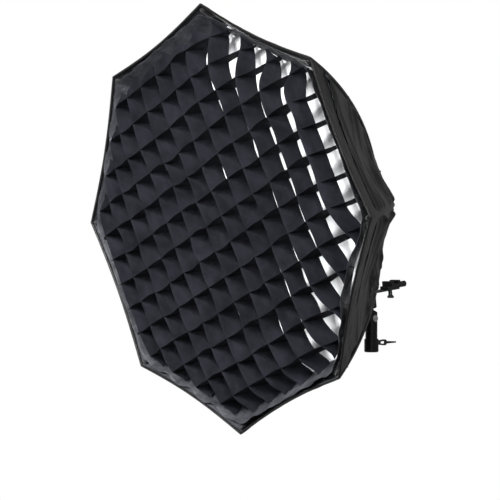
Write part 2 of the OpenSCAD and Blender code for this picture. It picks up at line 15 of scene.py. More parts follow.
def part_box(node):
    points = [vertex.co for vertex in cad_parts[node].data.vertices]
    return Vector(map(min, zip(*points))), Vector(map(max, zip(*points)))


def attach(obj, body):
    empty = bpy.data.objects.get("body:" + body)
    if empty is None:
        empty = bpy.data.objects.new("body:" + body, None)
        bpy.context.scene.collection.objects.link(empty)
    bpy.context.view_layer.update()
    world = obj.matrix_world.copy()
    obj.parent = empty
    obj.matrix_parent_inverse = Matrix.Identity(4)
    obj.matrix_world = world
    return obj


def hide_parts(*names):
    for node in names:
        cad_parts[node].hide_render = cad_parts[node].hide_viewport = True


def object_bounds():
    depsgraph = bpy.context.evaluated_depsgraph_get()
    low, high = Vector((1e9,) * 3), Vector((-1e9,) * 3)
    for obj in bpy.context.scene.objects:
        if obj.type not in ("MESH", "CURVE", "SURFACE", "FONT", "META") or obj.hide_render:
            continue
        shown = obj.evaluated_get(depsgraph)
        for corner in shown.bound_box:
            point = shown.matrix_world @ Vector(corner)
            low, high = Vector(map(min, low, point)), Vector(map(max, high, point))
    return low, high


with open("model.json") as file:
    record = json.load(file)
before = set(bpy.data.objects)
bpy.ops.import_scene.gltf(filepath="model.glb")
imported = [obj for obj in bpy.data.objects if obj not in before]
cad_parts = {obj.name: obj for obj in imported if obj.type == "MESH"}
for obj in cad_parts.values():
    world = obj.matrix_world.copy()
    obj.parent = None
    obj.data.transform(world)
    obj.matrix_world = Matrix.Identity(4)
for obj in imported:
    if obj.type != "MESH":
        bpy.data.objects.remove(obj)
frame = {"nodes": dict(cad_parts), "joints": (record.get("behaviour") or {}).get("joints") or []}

LOG = logging.getLogger("softbox")
MM = 0.001
PANELS = 8
LATTICE = 32  # random values along each side of the table that wander() reads
CAD_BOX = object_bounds()


# ---------------------------------------------------------------- numbers and meshes

def linear(code: str) -> tuple[float, float, float, float]:
    """Turn an sRGB hex colour into linear RGBA, by the sRGB standard's own curve.

    Args:
        code: The colour as "#rrggbb".

    Returns:
        Red, green, blue and alpha, each from 0 to 1.
    """
    parts = [int(code[i:i + 2], 16) / 255 for i in (1, 3, 5)]
    return (*[c / 12.92 if c <= 0.04045 else ((c + 0.055) / 1.055) ** 2.4 for c in parts], 1.0)


def ease(x: np.ndarray) -> np.ndarray:
    """Smooth step from 0 to 1: three x squared less two x cubed, held at both ends."""
    x = np.clip(x, 0, 1)
    return x * x * (3 - 2 * x)


def bell(x: np.ndarray, width: np.ndarray | float) -> np.ndarray:
    """Rounded hill, one in its middle: the exponential of less the square of x over width."""
    return np.exp(-(x / width) ** 2)


def wrap(angle: np.ndarray) -> np.ndarray:
    """Bring an angle between minus pi and pi."""
    return (angle + np.pi) % (2 * np.pi) - np.pi


def together(*parts: np.ndarray) -> np.ndarray:
    """Stretch arrays to one shape and stack them in a new last axis."""
    return np.stack(np.broadcast_arrays(*parts), -1)


def around(per_side: int) -> tuple[np.ndarray, np.ndarray]:
    """Spread places all the way round the octagon.

    Args:
        per_side: Places on each side.

    Returns:
        The panels' numbers, from 1, and the places across them, from -1 to 1.
    """
    k = np.repeat(np.arange(1, PANELS + 1), per_side)
    return k, np.tile(np.linspace(-1, 1, per_side, endpoint=False), PANELS)


def band_flat(count: int, length: float, z: np.ndarray) -> np.ndarray:
    """Lay a closed band out flat: its length in equal steps, by its depth.

    Args:
        count: Points along the band.
        length: Length of the band.
        z: Depth of each row.

    Returns:
        Cloth coordinates, with one column more than the band has points.
    """
    return together((np.arange(count + 1) / count * length)[None, :], z)


def wander(points: np.ndarray, size: float, seed: int) -> np.ndarray:
    """Smooth random field between -1 and 1.

    Random values stand on a cubic lattice of the given spacing, and each point takes the
    eased mean of the eight values around it.

    Args:
        points: Positions, with x, y and z in the last axis.
        size: Lattice spacing in metres.
        seed: Seed of the random values.

    Returns:
        One value a point.
    """
    table = np.random.default_rng(seed).uniform(-1, 1, (LATTICE, LATTICE, LATTICE))
    cell = np.floor(points / size).astype(int)
    part = ease(points / size - cell)
    total = np.zeros(points.shape[:-1])
    for step in np.ndindex(2, 2, 2):
        share = np.prod(np.where(step, part, 1 - part), axis=-1)
        total += share * table[tuple(np.moveaxis((cell + step) % LATTICE, -1, 0))]
    return total


def ripples(points: np.ndarray, *waves: tuple[float, float, int]) -> np.ndarray:
    """Add up random fields.

    Args:
        points: Positions, with x, y and z in the last axis.
        waves: Height and size in millimetres, and seed, of each field.

    Returns:
        One height in metres a point.
    """
    return sum(height * MM * wander(points, size * MM, seed) for height, size, seed in waves)


@dataclass
class Skin:
    """A mesh over a grid of points, with faces between neighbouring rows and columns.

    Attributes:
        points: Positions with the shape (rows, columns, 3), in metres in the row frame.
        wrap_rows: Whether the last row joins the first.
        wrap_columns: Whether the last column joins the first.
        flat: Cloth coordinates in metres, one row and column more where the grid wraps.
        caps: Whether the first and the last row are closed by a face.
    """

    points: np.ndarray
    wrap_rows: bool = False
    wrap_columns: bool = False
    flat: np.ndarray | None = None
    caps: bool = False

    def corners(self) -> tuple[np.ndarray, np.ndarray]:
        """Number the corners of every face.

        Returns:
            Vertex numbers and cloth-coordinate numbers, both with the shape (faces, 4).
        """
        rows, columns = self.points.shape[:2]
        i, j = np.meshgrid(np.arange(rows - (not self.wrap_rows)),
                           np.arange(columns - (not self.wrap_columns)), indexing="ij")
        around = [(i, j), (i, j + 1), (i + 1, j + 1), (i + 1, j)]
        vertex = np.stack([(a % rows) * columns + b % columns for a, b in around], -1)
        wide = columns + self.wrap_columns
        spot = np.stack([a * wide + b for a, b in around], -1)
        return vertex.reshape(-1, 4), spot.reshape(-1, 4)


def build(name: str, skins: Sequence[Skin],
          inside: np.ndarray | None = None) -> bpy.types.Object:
    """Make one object of several skins, with its faces outwards.

    Args:
        name: Name of the piece.
        skins: The skins, each a sheet or a closed form.
        inside: A point that the outer side of an open sheet looks away from. Without it
            every skin is a closed form, and its enclosed volume tells the outer side.

    Returns:
        The object, at the origin, with a "cloth" UV map in metres.
    """
    places, faces, spots, start = [], [], [], 0
    for skin in skins:
        flat_points = skin.points.reshape(-1, 3)
        vertex, spot = skin.corners()
        p = flat_points[vertex]
        normal = np.cross(p[:, 2] - p[:, 0], p[:, 3] - p[:, 1])
        away = p.mean(1) - (flat_points.mean(0) if inside is None else inside)
        turned = (normal * away).sum() < 0
        if turned:
            vertex, spot = vertex[:, ::-1], spot[:, ::-1]
        rows, columns = skin.points.shape[:2]
        uv = skin.flat
        if uv is None:
            uv = np.zeros((rows + skin.wrap_rows, columns + skin.wrap_columns, 2))
        faces += (vertex + start).tolist()
        spots.append(uv.reshape(-1, 2)[spot].reshape(-1, 2))
        if skin.caps:
            first = list(range(columns))
            last = list(range(len(flat_points) - columns, len(flat_points)))
            for ring in ((last, first[::-1]) if turned else (first, last[::-1])):
                faces.append([start + v for v in ring])
                spots.append(np.zeros((columns, 2)))
        places.append(flat_points)
        start += len(flat_points)
    mesh = bpy.data.meshes.new(name)
    mesh.from_pydata(np.concatenate(places).tolist(), [], faces)
    mesh.uv_layers.new(name="cloth").data.foreach_set("uv", np.concatenate(spots).ravel())
    mesh.polygons.foreach_set("use_smooth", [True] * len(faces))
    mesh.update()
    piece = bpy.data.objects.new(name, mesh)
    bpy.context.scene.collection.objects.link(piece)
    return piece


def tube(path: np.ndarray, radius: np.ndarray | float, across: np.ndarray, sides: int = 12,
         closed: bool = False, squash: float = 1.0) -> Skin:
    """Round bar along a path: a circle of the radius carried along, square to the path.

    Args:
        path: Points along the middle, with the shape (n, 3).
        radius: Radius in metres, or one for each point.
        across: A direction for each point, which starts the circle.
        sides: Number of points around.
        closed: Whether the path joins its own start.
        squash: Height of the circle square to the across direction, as a share of its width.

    Returns:
        The bar's skin.
    """
    along = (np.roll(path, -1, 0) - np.roll(path, 1, 0)) if closed else np.gradient(path, axis=0)
    along /= np.linalg.norm(along, axis=1, keepdims=True)
    side = across - (across * along).sum(1, keepdims=True) * along
    side /= np.linalg.norm(side, axis=1, keepdims=True)
    up = np.cross(along, side)
    angle = np.linspace(0, 2 * np.pi, sides, endpoint=False)
    r = np.broadcast_to(np.asarray(radius, float).reshape(-1, 1, 1), (len(path), 1, 1))
    ring = side[:, None] * np.cos(angle)[:, None] + squash * up[:, None] * np.sin(angle)[:, None]
    length = np.concatenate([[0], np.cumsum(np.linalg.norm(np.diff(path, axis=0), axis=1))])
    if closed:
        length = np.append(length, length[-1] + np.linalg.norm(path[0] - path[-1]))
    turn = np.linspace(0, 2 * np.pi, sides + 1) * float(np.mean(r))
    return Skin(path[:, None] + r * ring, wrap_rows=closed, wrap_columns=True,
                flat=together(turn[None, :], length[:, None]), caps=not closed)


# ---------------------------------------------------------------- finishes

def add(tree: bpy.types.NodeTree, kind: str, settings: dict | None = None,
        inputs: dict | None = None) -> bpy.types.Node:
    """Add a node with its settings, values and links.

    Args:
        tree: The node tree.
        kind: The node's type.
        settings: Attributes of the node.
        inputs: Values or output sockets by input name or number.

    Returns:
        The new node.
    """
    node = tree.nodes.new(kind)
    for key, value in (settings or {}).items():
        setattr(node, key, value)
    for key, value in (inputs or {}).items():
        if isinstance(value, bpy.types.NodeSocket):
            tree.links.new(value, node.inputs[key])
        else:
            node.inputs[key].default_value = value
    return node


class Pattern(Enum):
    """Fine structure of a surface."""

    WEAVE = "weave"
    PILE = "pile"
    CAST = "cast"
    BRUSHED = "brushed"
    MOULDED = "moulded"


@dataclass(frozen=True)
class Finish:
    """One finish: two near colours in soft patches, a fine structure and its gloss.

    Attributes:
        name: Common name of the material and how its surface was made.
        colour: Main colour, sRGB hex.
        second: Colour of the patches, sRGB hex.
        patch_mm: Size of the patches.
        rough: Lowest and highest roughness.
        pattern: Fine structure.
        grain_mm: Spacing of threads, grain or grit.
        depth_mm: Height of the fine structure.
        crumple_mm: Size and height of soft creases under the fine structure.
        metal: 1 for metal.
        ior: Index of refraction, for anything but metal.
        gloss: Specular level; 0.5 is a bare smooth surface, and loose fibres bring it down.
        sheen: Strength of the light fibres that stand up at grazing angles.
        glow: Share of light that passes through, as in thin white cloth.
    """

    name: str
    colour: str
    second: str
    patch_mm: float
    rough: tuple[float, float]
    pattern: Pattern
    grain_mm: float
    depth_mm: float
    crumple_mm: tuple[float, float] = (0.0, 0.0)
    metal: float = 0.0
    ior: float = 1.5
    gloss: float = 0.5
    sheen: float = 0.0
    glow: float = 0.0

    def make(self) -> bpy.types.Material:
        """Build the node material.

        Returns:
            The material.
        """
        material = bpy.data.materials.new(self.name)
        material.use_nodes = True
        tree = material.node_tree
        shader = tree.nodes["Principled BSDF"]
        place = add(tree, "ShaderNodeTexCoord").outputs["Object"]
        patch = add(tree, "ShaderNodeTexNoise", None, {
            "Vector": place, "Scale": 1000 / self.patch_mm, "Detail": 4.0,
            "Roughness": 0.6}).outputs[0]
        tint = add(tree, "ShaderNodeMapRange", None, {
            "Value": patch, "From Min": 0.35, "From Max": 0.65}).outputs[0]
        colour = add(tree, "ShaderNodeMix", {"data_type": "RGBA"}, {
            0: tint, 6: linear(self.colour), 7: linear(self.second)}).outputs[2]
        fine = self.structure(tree, place)
        rough = add(tree, "ShaderNodeMapRange", None, {
            "Value": patch, "From Min": 0.3, "From Max": 0.7,
            "To Min": self.rough[0], "To Max": self.rough[1]}).outputs[0]
        normal = add(tree, "ShaderNodeBump", None, {
            "Height": fine, "Strength": 1.0, "Distance": self.depth_mm * MM}).outputs[0]
        if self.crumple_mm[1]:
            crease = add(tree, "ShaderNodeTexNoise", None, {
                "Vector": place, "Scale": 1000 / self.crumple_mm[0], "Detail": 3.0,
                "Distortion": 0.6}).outputs[0]
            normal = add(tree, "ShaderNodeBump", None, {
                "Height": crease, "Strength": 1.0, "Distance": self.crumple_mm[1] * MM,
                "Normal": normal}).outputs[0]
        for key, value in (("Base Color", colour), ("Roughness", rough), ("Normal", normal)):
            tree.links.new(value, shader.inputs[key])
        shader.inputs["Metallic"].default_value = self.metal
        if not self.metal:
            shader.inputs["IOR"].default_value = self.ior
            shader.inputs["Specular IOR Level"].default_value = self.gloss
        if self.sheen:
            shader.inputs["Sheen Weight"].default_value = self.sheen
            shader.inputs["Sheen Roughness"].default_value = 0.45
        if self.glow:
            through = add(tree, "ShaderNodeBsdfTranslucent", None, {"Color": linear(self.colour)})
            mixed = add(tree, "ShaderNodeMixShader", None, {
                0: self.glow, 1: shader.outputs[0], 2: through.outputs[0]})
            tree.links.new(mixed.outputs[0], tree.nodes["Material Output"].inputs[0])
        return material

    def structure(self, tree: bpy.types.NodeTree,
                  place: bpy.types.NodeSocket) -> bpy.types.NodeSocket:
        """Draw the height of the fine structure.

        A weave is the higher of two waves along the cloth's length and width. A wave spans two
        threads, one over and one under; at scale 1 it repeats every 2 pi / 20 of a metre.

        Args:
            tree: The node tree.
            place: Object coordinates.

        Returns:
            The socket with the height, from 0 to 1.
        """
        count = 1000 / self.grain_mm
        if self.pattern is Pattern.WEAVE:
            cloth = add(tree, "ShaderNodeUVMap", {"uv_map": "cloth"}).outputs[0]
            threads = [add(tree, "ShaderNodeTexWave", {"bands_direction": way}, {
                "Vector": cloth, "Scale": count / 20 * math.pi, "Distortion": 0.4,
                "Detail": 1.0}).outputs["Fac"] for way in ("X", "Y")]
            return add(tree, "ShaderNodeMath", {"operation": "MAXIMUM"},
                       {0: threads[0], 1: threads[1]}).outputs[0]
        if self.pattern is Pattern.BRUSHED:
            drawn = add(tree, "ShaderNodeMapping", None, {
                "Vector": place, "Scale": (count, count, count / 25)}).outputs[0]
            return add(tree, "ShaderNodeTexNoise", None,
                       {"Vector": drawn, "Scale": 1.0}).outputs[0]
        if self.pattern is Pattern.PILE:
            return add(tree, "ShaderNodeTexVoronoi", None,
                       {"Vector": place, "Scale": count}).outputs[0]
        detail = 6.0 if self.pattern is Pattern.CAST else 2.0
        return add(tree, "ShaderNodeTexNoise", None, {
            "Vector": place, "Scale": count, "Detail": detail}).outputs[0]


class Finishes:
    """Every finish of the softbox, made once and shared."""

    # Near-black with a soft sheen. The threads of this and the other thin cloths are drawn at
    # 0.9 mm or more so that they show, since real ones are about 0.2 mm.
    NYLON = Finish("coated nylon taffeta, woven", "#131212", "#1a1919", 60, (0.34, 0.44),
                   Pattern.WEAVE, 0.9, 0.02, (14, 0.5), gloss=0.3)
    # The same cloth's inner side: dull silver, which spreads the light.
    SILVER = Finish("aluminium-coated nylon, woven", "#b9bcc0", "#a9adb2", 50, (0.32, 0.48),
                    Pattern.WEAVE, 0.9, 0.06, (12, 0.8), metal=0.8)
    # Dull blue-black, so that stray light dies in the grid's cells.
    GRID = Finish("polyester taffeta, woven", "#222328", "#303138", 32, (0.7, 0.85),
                  Pattern.WEAVE, 0.9, 0.06, (16, 0.9), gloss=0.05)
    # Greyer and a little shinier, and crumpled where it is sewn.
    BAND = Finish("nylon oxford, woven", "#303135", "#48494e", 35, (0.36, 0.52),
                  Pattern.WEAVE, 1.1, 0.08, (9, 1.6), gloss=0.25)
    # Dull black with coarse ribs.
    WEBBING = Finish("polypropylene webbing, woven", "#171717", "#202020", 20, (0.6, 0.75),
                     Pattern.WEAVE, 1.6, 0.25, sheen=0.15)
    # Matt black pile that scatters light.
    PILE = Finish("nylon hook-and-loop tape", "#131313", "#1c1c1c", 12, (0.85, 0.95),
                  Pattern.PILE, 1.0, 0.4, sheen=0.4)
    # An even bright white that lets light through.
    DIFFUSER = Finish("white diffusion nylon, woven", "#f4f5f6", "#eff0f2", 90, (0.6, 0.7),
                      Pattern.WEAVE, 0.9, 0.04, (30, 1.0), glow=0.35)
    # Dull black braid over rubber, with a fine broken surface.
    ELASTIC = Finish("elastic cord, braided", "#141414", "#1d1d1d", 8, (0.7, 0.85),
                     Pattern.PILE, 0.6, 0.15)
    # Dark grey resin with the streaks of long fibres.
    FIBREGLASS = Finish("glass fibre rod, pultruded", "#2e2f30", "#3b3c3d", 25, (0.3, 0.42),
                        Pattern.BRUSHED, 0.4, 0.05, ior=1.55)
    # Black with a fine orange-peel and soft highlights.
    RING = Finish("cast aluminium, powder coated", "#1b1b1c", "#222223", 18, (0.42, 0.55),
                  Pattern.CAST, 0.7, 0.08)
    # Even satin black.
    BRACKET = Finish("sheet steel, powder coated", "#1a1a1b", "#212122", 25, (0.36, 0.48),
                     Pattern.CAST, 0.6, 0.05)
    # Deep black with a tight gloss: the dyed oxide hides the metal, so it is drawn as a coating.
    SOCKET = Finish("turned aluminium, black anodised", "#121213", "#161617", 15, (0.28, 0.38),
                    Pattern.BRUSHED, 0.35, 0.02, gloss=0.25)
    # A bright spot.
    BOLT = Finish("stainless steel, polished", "#c9cacc", "#bfc0c3", 10, (0.16, 0.24),
                  Pattern.BRUSHED, 0.3, 0.01, metal=1.0)
    # Grey with a slight blue cast.
    SCREW = Finish("steel, zinc plated", "#8f9296", "#7e8185", 6, (0.3, 0.42),
                   Pattern.CAST, 0.4, 0.02, metal=1.0)
    # Mid grey, a little worn.
    THUMB = Finish("cast zinc, nickel plated", "#77797c", "#626467", 5, (0.34, 0.5),
                   Pattern.CAST, 0.5, 0.05, metal=1.0)
    # Matt black with a fine spark-eroded grain.
    PLASTIC = Finish("glass-filled nylon, moulded", "#161617", "#1d1d1e", 12, (0.45, 0.58),
                     Pattern.MOULDED, 0.8, 0.06)

    def __init__(self) -> None:
        """Start with no material made."""
        self.made: dict[str, bpy.types.Material] = {}

    def get(self, finish: Finish) -> bpy.types.Material:
        """Find a finish's material, and make it on first use.

        Args:
            finish: The finish.

        Returns:
            The material.
        """
        if finish.name not in self.made:
            self.made[finish.name] = finish.make()
        return self.made[finish.name]

    def dress(self, piece: bpy.types.Object, *finishes: Finish) -> None:
        """Fill a piece's material slots.

        Args:
            piece: The piece or CAD node.
            finishes: One finish a slot.
        """
        piece.data.materials.clear()
        for finish in finishes:
            piece.data.materials.append(self.get(finish))

    def piece(self, name: str, skins: Sequence[Skin], *finishes: Finish,
              inside: np.ndarray | None = None, wall: float = 0.0,
              offset: float = -1.0) -> bpy.types.Object:
        """Build a piece, give it its thickness with a Solidify modifier, and dress it.

        Args:
            name: Name of the piece.
            skins: Its skins.
            finishes: The outer finish, and the inner one where it differs.
            inside: A point that the outer side of a sheet looks away from.
            wall: Thickness of a sheet, or nothing for a closed form.
            offset: -1 to grow inwards, 0 to both sides.

        Returns:
            The piece.
        """
        made = build(name, skins, inside=inside)
        if wall:
            solid = made.modifiers.new("wall", "SOLIDIFY")
            solid.thickness, solid.offset, solid.use_even_offset = wall, offset, False
            solid.material_offset = len(finishes) - 1
            made.modifiers.new("even shading", "WEIGHTED_NORMAL").weight = 90
        self.dress(made, *finishes)
        return made


# ---------------------------------------------------------------- the softbox's own form

@dataclass(frozen=True)
class BoxFrame:
    """The tilted frame of the softbox: x right, y up its front, z back along its axis.

    Attributes:
        origin: Middle of the front edge.
        right: Direction of x.
        up: Direction of y.
        back: Direction of z.
    """

    origin: np.ndarray
    right: np.ndarray
    up: np.ndarray
    back: np.ndarray

    @classmethod
    def read(cls) -> "BoxFrame":
        """Take the frame from the grid's release joint and the front band's box.

        Returns:
            The frame.
        """
        release = next(j for j in frame["joints"] if j["name"] == "grid_release")
        back = -np.array(release["axis"], float)
        back /= np.linalg.norm(back)
        right = np.array([1.0, 0.0, 0.0])
        up = np.cross(right, back)
        low, high = (np.array(p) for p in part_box("front_lip"))
        corner = (high[0] - low[0]) / 2
        origin = np.array([(low[0] + high[0]) / 2, low[1] + corner * back[2],
                           (low[2] + high[2]) / 2])
        return cls(origin, right, up, back)

    def place(self, x: np.ndarray, y: np.ndarray, z: np.ndarray) -> np.ndarray:
        """Turn softbox coordinates into positions in the row frame."""
        x, y, z = (part[..., None] for part in np.broadcast_arrays(x, y, z))
        return self.origin + x * self.right + y * self.up + z * self.back

    def behind(self, z: float) -> np.ndarray:
        """Point on the axis at depth z."""
        return self.origin + z * self.back

    def depth_of(self, node: str) -> float:
        """Largest depth of a CAD node behind the front edge."""
        points = np.array([v.co for v in frame["nodes"][node].data.vertices], float)
        return float(((points - self.origin) @ self.back).max())


@dataclass(frozen=True)
class ShellForm:
    """The dome: flat-sided at the front edge, round at the ring, with ribs bent along one arc.

    Attributes:
        corner_r: Radius of the front edge's corners.
        hub_r: Radius at the ring.
        depth: Depth of the dome.
        bend: Angle through which a rib bends.
        rim_bow: How far a front edge is drawn in between its corners.
        sag: How far a panel is drawn in halfway back.
        half: Half of a panel's angle round the axis.
    """

    corner_r: float
    hub_r: float
    depth: float
    bend: float = math.radians(24)
    rim_bow: float = 8 * MM
    sag: float = 18 * MM
    half: float = math.pi / PANELS

    @property
    def arc(self) -> tuple[float, float, float, float]:
        """Lay the rib's arc through the rim and the ring's edge, by its chord and its bend.

        Returns:
            Its radius, the radius and depth of its middle, and its angle at the rim.
        """
        chord = math.hypot(self.depth, self.corner_r - self.hub_r)
        r = chord / (2 * math.sin(self.bend / 2))
        rim = math.atan2(self.corner_r - self.hub_r, self.depth) - self.bend / 2
        return r, self.corner_r - r * math.cos(rim), -r * math.sin(rim), rim

    def ridge_r(self, t: np.ndarray) -> np.ndarray:
        """Radius of a rib: the middle's radius plus the arc's radius by the cosine of its angle."""
        r, mid_r, _, rim = self.arc
        return mid_r + r * np.cos(rim + self.bend * t)

    def ridge_z(self, t: np.ndarray) -> np.ndarray:
        """Depth of a rib: the middle's depth plus the arc's radius by the sine of its angle."""
        r, _, mid_z, rim = self.arc
        return mid_z + r * np.sin(rim + self.bend * t)

    def ridge_at(self, z: np.ndarray) -> np.ndarray:
        """Share of the rib's arc at which it reaches depth z."""
        r, _, mid_z, rim = self.arc
        return (np.arcsin((z - mid_z) / r) - rim) / self.bend

    def drawn_in(self, t: np.ndarray) -> np.ndarray:
        """How far a panel's middle lies inside its flat side."""
        return self.rim_bow * (1 - t) + self.sag * np.sin(np.pi * t) ** 2

    def radius(self, u: np.ndarray, t: np.ndarray) -> np.ndarray:
        """Radius of the shell at u = -1..1 across a panel and t = 0..1 along it.

        The ribs' radius, times a polygon's share that turns into a circle's with the cube of t,
        less the drawn-in middle times one less u squared.

        Args:
            u: Place across the panel.
            t: Place along the panel.

        Returns:
            The radius.
        """
        flat_side = math.cos(self.half) / np.cos(self.half * u)
        return (self.ridge_r(t) * ((1 - t ** 3) * flat_side + t ** 3)
                - self.drawn_in(t) * (1 - u * u))

    def rib_angle(self, k: np.ndarray | float) -> np.ndarray | float:
        """Angle of rib k from x towards y; rib 1 is at the top, and they go round to the right."""
        return math.pi / 2 - 2 * self.half * (k - 1)

    def angle(self, k: np.ndarray | int, u: np.ndarray) -> np.ndarray:
        """Angle at u across panel k."""
        return self.rib_angle(k) - self.half * (1 + u)

    def points(self, box: BoxFrame, k: np.ndarray | int, u: np.ndarray, t: np.ndarray,
               out: np.ndarray | float = 0.0, lean: float = 0.0) -> np.ndarray:
        """Positions on one panel, or round many, moved outwards from the axis.

        Args:
            box: The softbox's frame.
            k: Number of the panel.
            u: Place across the panel.
            t: Place along the panel.
            out: Distance outwards.
            lean: Distance backwards for each unit outwards.

        Returns:
            Positions in the row frame.
        """
        r = self.radius(u, t) + out
        a = self.angle(k, u)
        slope = lean * np.asarray(out) * np.ones_like(r)
        return box.place(r * np.cos(a), r * np.sin(a), self.ridge_z(t) + slope)


@dataclass
class Shell:
    """The fabric dome: eight panels, their seams, the front band and what is sewn to it.

    Attributes:
        box: The softbox's frame.
        form: The dome's form.
        finishes: The finishes.
        lip_depth: Depth of the front band.
        cloth_wall: Thickness of the cloth.
        overlap: Share of a rib's length by which panels and front band each pass their line.
        lean: How far creases lie back for each unit that they stand out.
        creases_each: Creases on a panel.
        seam_w: Width of the tape over a seam.
        tape_wall: Thickness of that tape.
        girth: Length round the front band and round the loop tape.
        hem_r: Radius of the rolled front edge.
        loop_z: Depths between which the loop tape lies.
        loop_in: How far it lies inside the shell.
        loop_wall: Its thickness.
        pocket_r: Radius of a rod's pocket.
        pocket_l: Length of a pocket.
        pocket_in: How far a pocket's middle lies inside the rib.
        pocket_start: Angle of the rib's arc from the rim to the pocket's closed end.
        diffuser_z: Depth of the diffuser.
        diffuser_in: How far its edge lies inside the shell, everywhere and more at the corners.
        diffuser_wall: Its thickness.
        collar_edge: How far the rear collar's outer edge lies inside the ring's own radius.
        collar_r: Radius of the collar's inner edge.
        collar_rise: How far the collar stands behind the ring, at its outer edge and inwards.
        collar_fold: Height of its folds.
        collar_gap: Half angle left free for the upright bar.
        collar_wall: Its thickness.
        columns: Points across a panel.
        rows: Points along a panel.
    """

    box: BoxFrame
    form: ShellForm
    finishes: Finishes
    lip_depth: float = 45 * MM
    cloth_wall: float = 0.8 * MM
    overlap: float = 0.004
    lean: float = 0.55
    creases_each: int = 18
    seam_w: float = 9 * MM
    tape_wall: float = 0.6 * MM
    girth: tuple[float, float] = (2.14, 2.0)
    hem_r: float = 1.9 * MM
    loop_z: tuple[float, float] = (25 * MM, 44 * MM)
    loop_in: float = 1.6 * MM
    loop_wall: float = 1.0 * MM
    pocket_r: float = 3.9 * MM
    pocket_l: float = 26 * MM
    pocket_in: float = 8.03 * MM
    pocket_start: float = math.radians(0.25)
    diffuser_z: float = 46.5 * MM
    diffuser_in: tuple[float, float] = (4 * MM, 9 * MM)
    diffuser_wall: float = 0.5 * MM
    collar_edge: float = 1 * MM
    collar_r: float = 46 * MM
    collar_rise: tuple[float, float] = (1.2 * MM, 2.3 * MM)
    collar_fold: float = 0.9 * MM
    collar_gap: float = 0.24
    collar_wall: float = 1.0 * MM
    columns: int = 61
    rows: int = 85

    @property
    def lip_t(self) -> float:
        """Share of a rib's arc at the rear edge of the front band."""
        return float(self.form.ridge_at(self.lip_depth))

    def creases(self, k: int, u: np.ndarray, t: np.ndarray) -> np.ndarray:
        """Height of the pulled creases on panel k.

        Each crease is a low rounded ridge along a line from one rib to the next. It starts at
        one place on the first rib and ends at another on the second, fades towards its middle,
        and stands highest near the rib that pulls it.

        Args:
            k: Number of the panel.
            u: Place across the panel.
            t: Place along the panel.

        Returns:
            Height in metres.
        """
        rng = np.random.default_rng(40 + k)
        height = np.zeros(np.broadcast(u, t).shape)
        for _ in range(self.creases_each):
            start = rng.uniform(0.02, 0.8)
            end = start + rng.uniform(-0.2, 0.2)
            width = rng.uniform(0.008, 0.03)
            bow = rng.uniform(-0.06, 0.06)
            strength = width * rng.uniform(0.14, 0.27)
            pull = rng.choice([-1.0, 1.0])
            line = start + (end - start) * (u + 1) / 2 + bow * (1 - u * u)
            fade = bell(u - pull, rng.uniform(0.7, 1.5))
            height += strength * fade * bell(t - line, width)
        return height

    def panel(self, k: int) -> bpy.types.Object:
        """Sew one panel of the dome, from the front band to the ring.

        The creases and two slow random fields stand on the dome's own surface. They fade out
        towards the ribs and the ring, and a stitched groove runs beside each rib.

        Args:
            k: Number of the panel.

        Returns:
            The piece.
        """
        form = self.form
        groove, beside, groove_w = 0.9 * MM, 6 * MM, 3.5 * MM
        calm_rib, calm_ring = 14 * MM, 0.06
        u = np.linspace(-1, 1, self.columns)[None, :]
        t = np.linspace(self.lip_t - self.overlap, 1, self.rows)[:, None]
        edge = (1 - np.abs(u)) * form.half * form.ridge_r(t)
        calm = ease(edge / calm_rib) * ease((1 - t) / calm_ring)
        plain = form.points(self.box, k, u, t)
        soft = ripples(plain, (1.6, 60, 7), (0.5, 16, 9))
        out = calm * (self.creases(k, u, t) + soft) - groove * bell(edge - beside, groove_w)
        run = form.arc[0] * form.bend
        skin = Skin(form.points(self.box, k, u, t, out, self.lean),
                    flat=together(u * form.half * form.ridge_r(t), t * run))
        piece = self.finishes.piece(f"shell_cloth_{k}", [skin], Finishes.NYLON, Finishes.SILVER,
                                    inside=self.box.behind(0.15), wall=self.cloth_wall)
        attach(piece, "head")
        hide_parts(f"shell_panel_{k}")
        wide = 2 * math.sin(form.half) * float(form.ridge_r(self.lip_t))
        long = (1 - self.lip_t) * run
        return piece

    def seam(self, k: int) -> bpy.types.Object:
        """Lay the tape over the seam at rib k: a flat band along the ridge with a round crown.

        Its edges are dimpled by a fast sine along them, where they are stitched.

        Args:
            k: Number of the rib.

        Returns:
            The piece.
        """
        form = self.form
        lift, crown, stitch, stitches, edges = 0.5 * MM, 0.7 * MM, 0.15 * MM, 900, 0.7
        first, last, lean = 0.01, 0.985, 0.5
        t = np.linspace(first, last, 90)[:, None]
        w = np.linspace(-1, 1, 13)[None, :]
        r = form.ridge_r(t)
        a = form.rib_angle(k) - w * self.seam_w / 2 / r
        up = lift + crown * (1 - w ** 2) + stitch * np.sin(t * stitches) * (np.abs(w) > edges)
        rr = form.radius(1 - np.abs(w) * self.seam_w / 2 / r / form.half, t) + up
        skin = Skin(self.box.place(rr * np.cos(a), rr * np.sin(a), form.ridge_z(t) + lean * up),
                    flat=together(w * self.seam_w / 2, t * form.arc[0] * form.bend))
        piece = self.finishes.piece(f"seam_tape_{k}", [skin], Finishes.NYLON,
                                    inside=self.box.behind(0.15), wall=self.tape_wall)
        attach(piece, "head")
        return piece

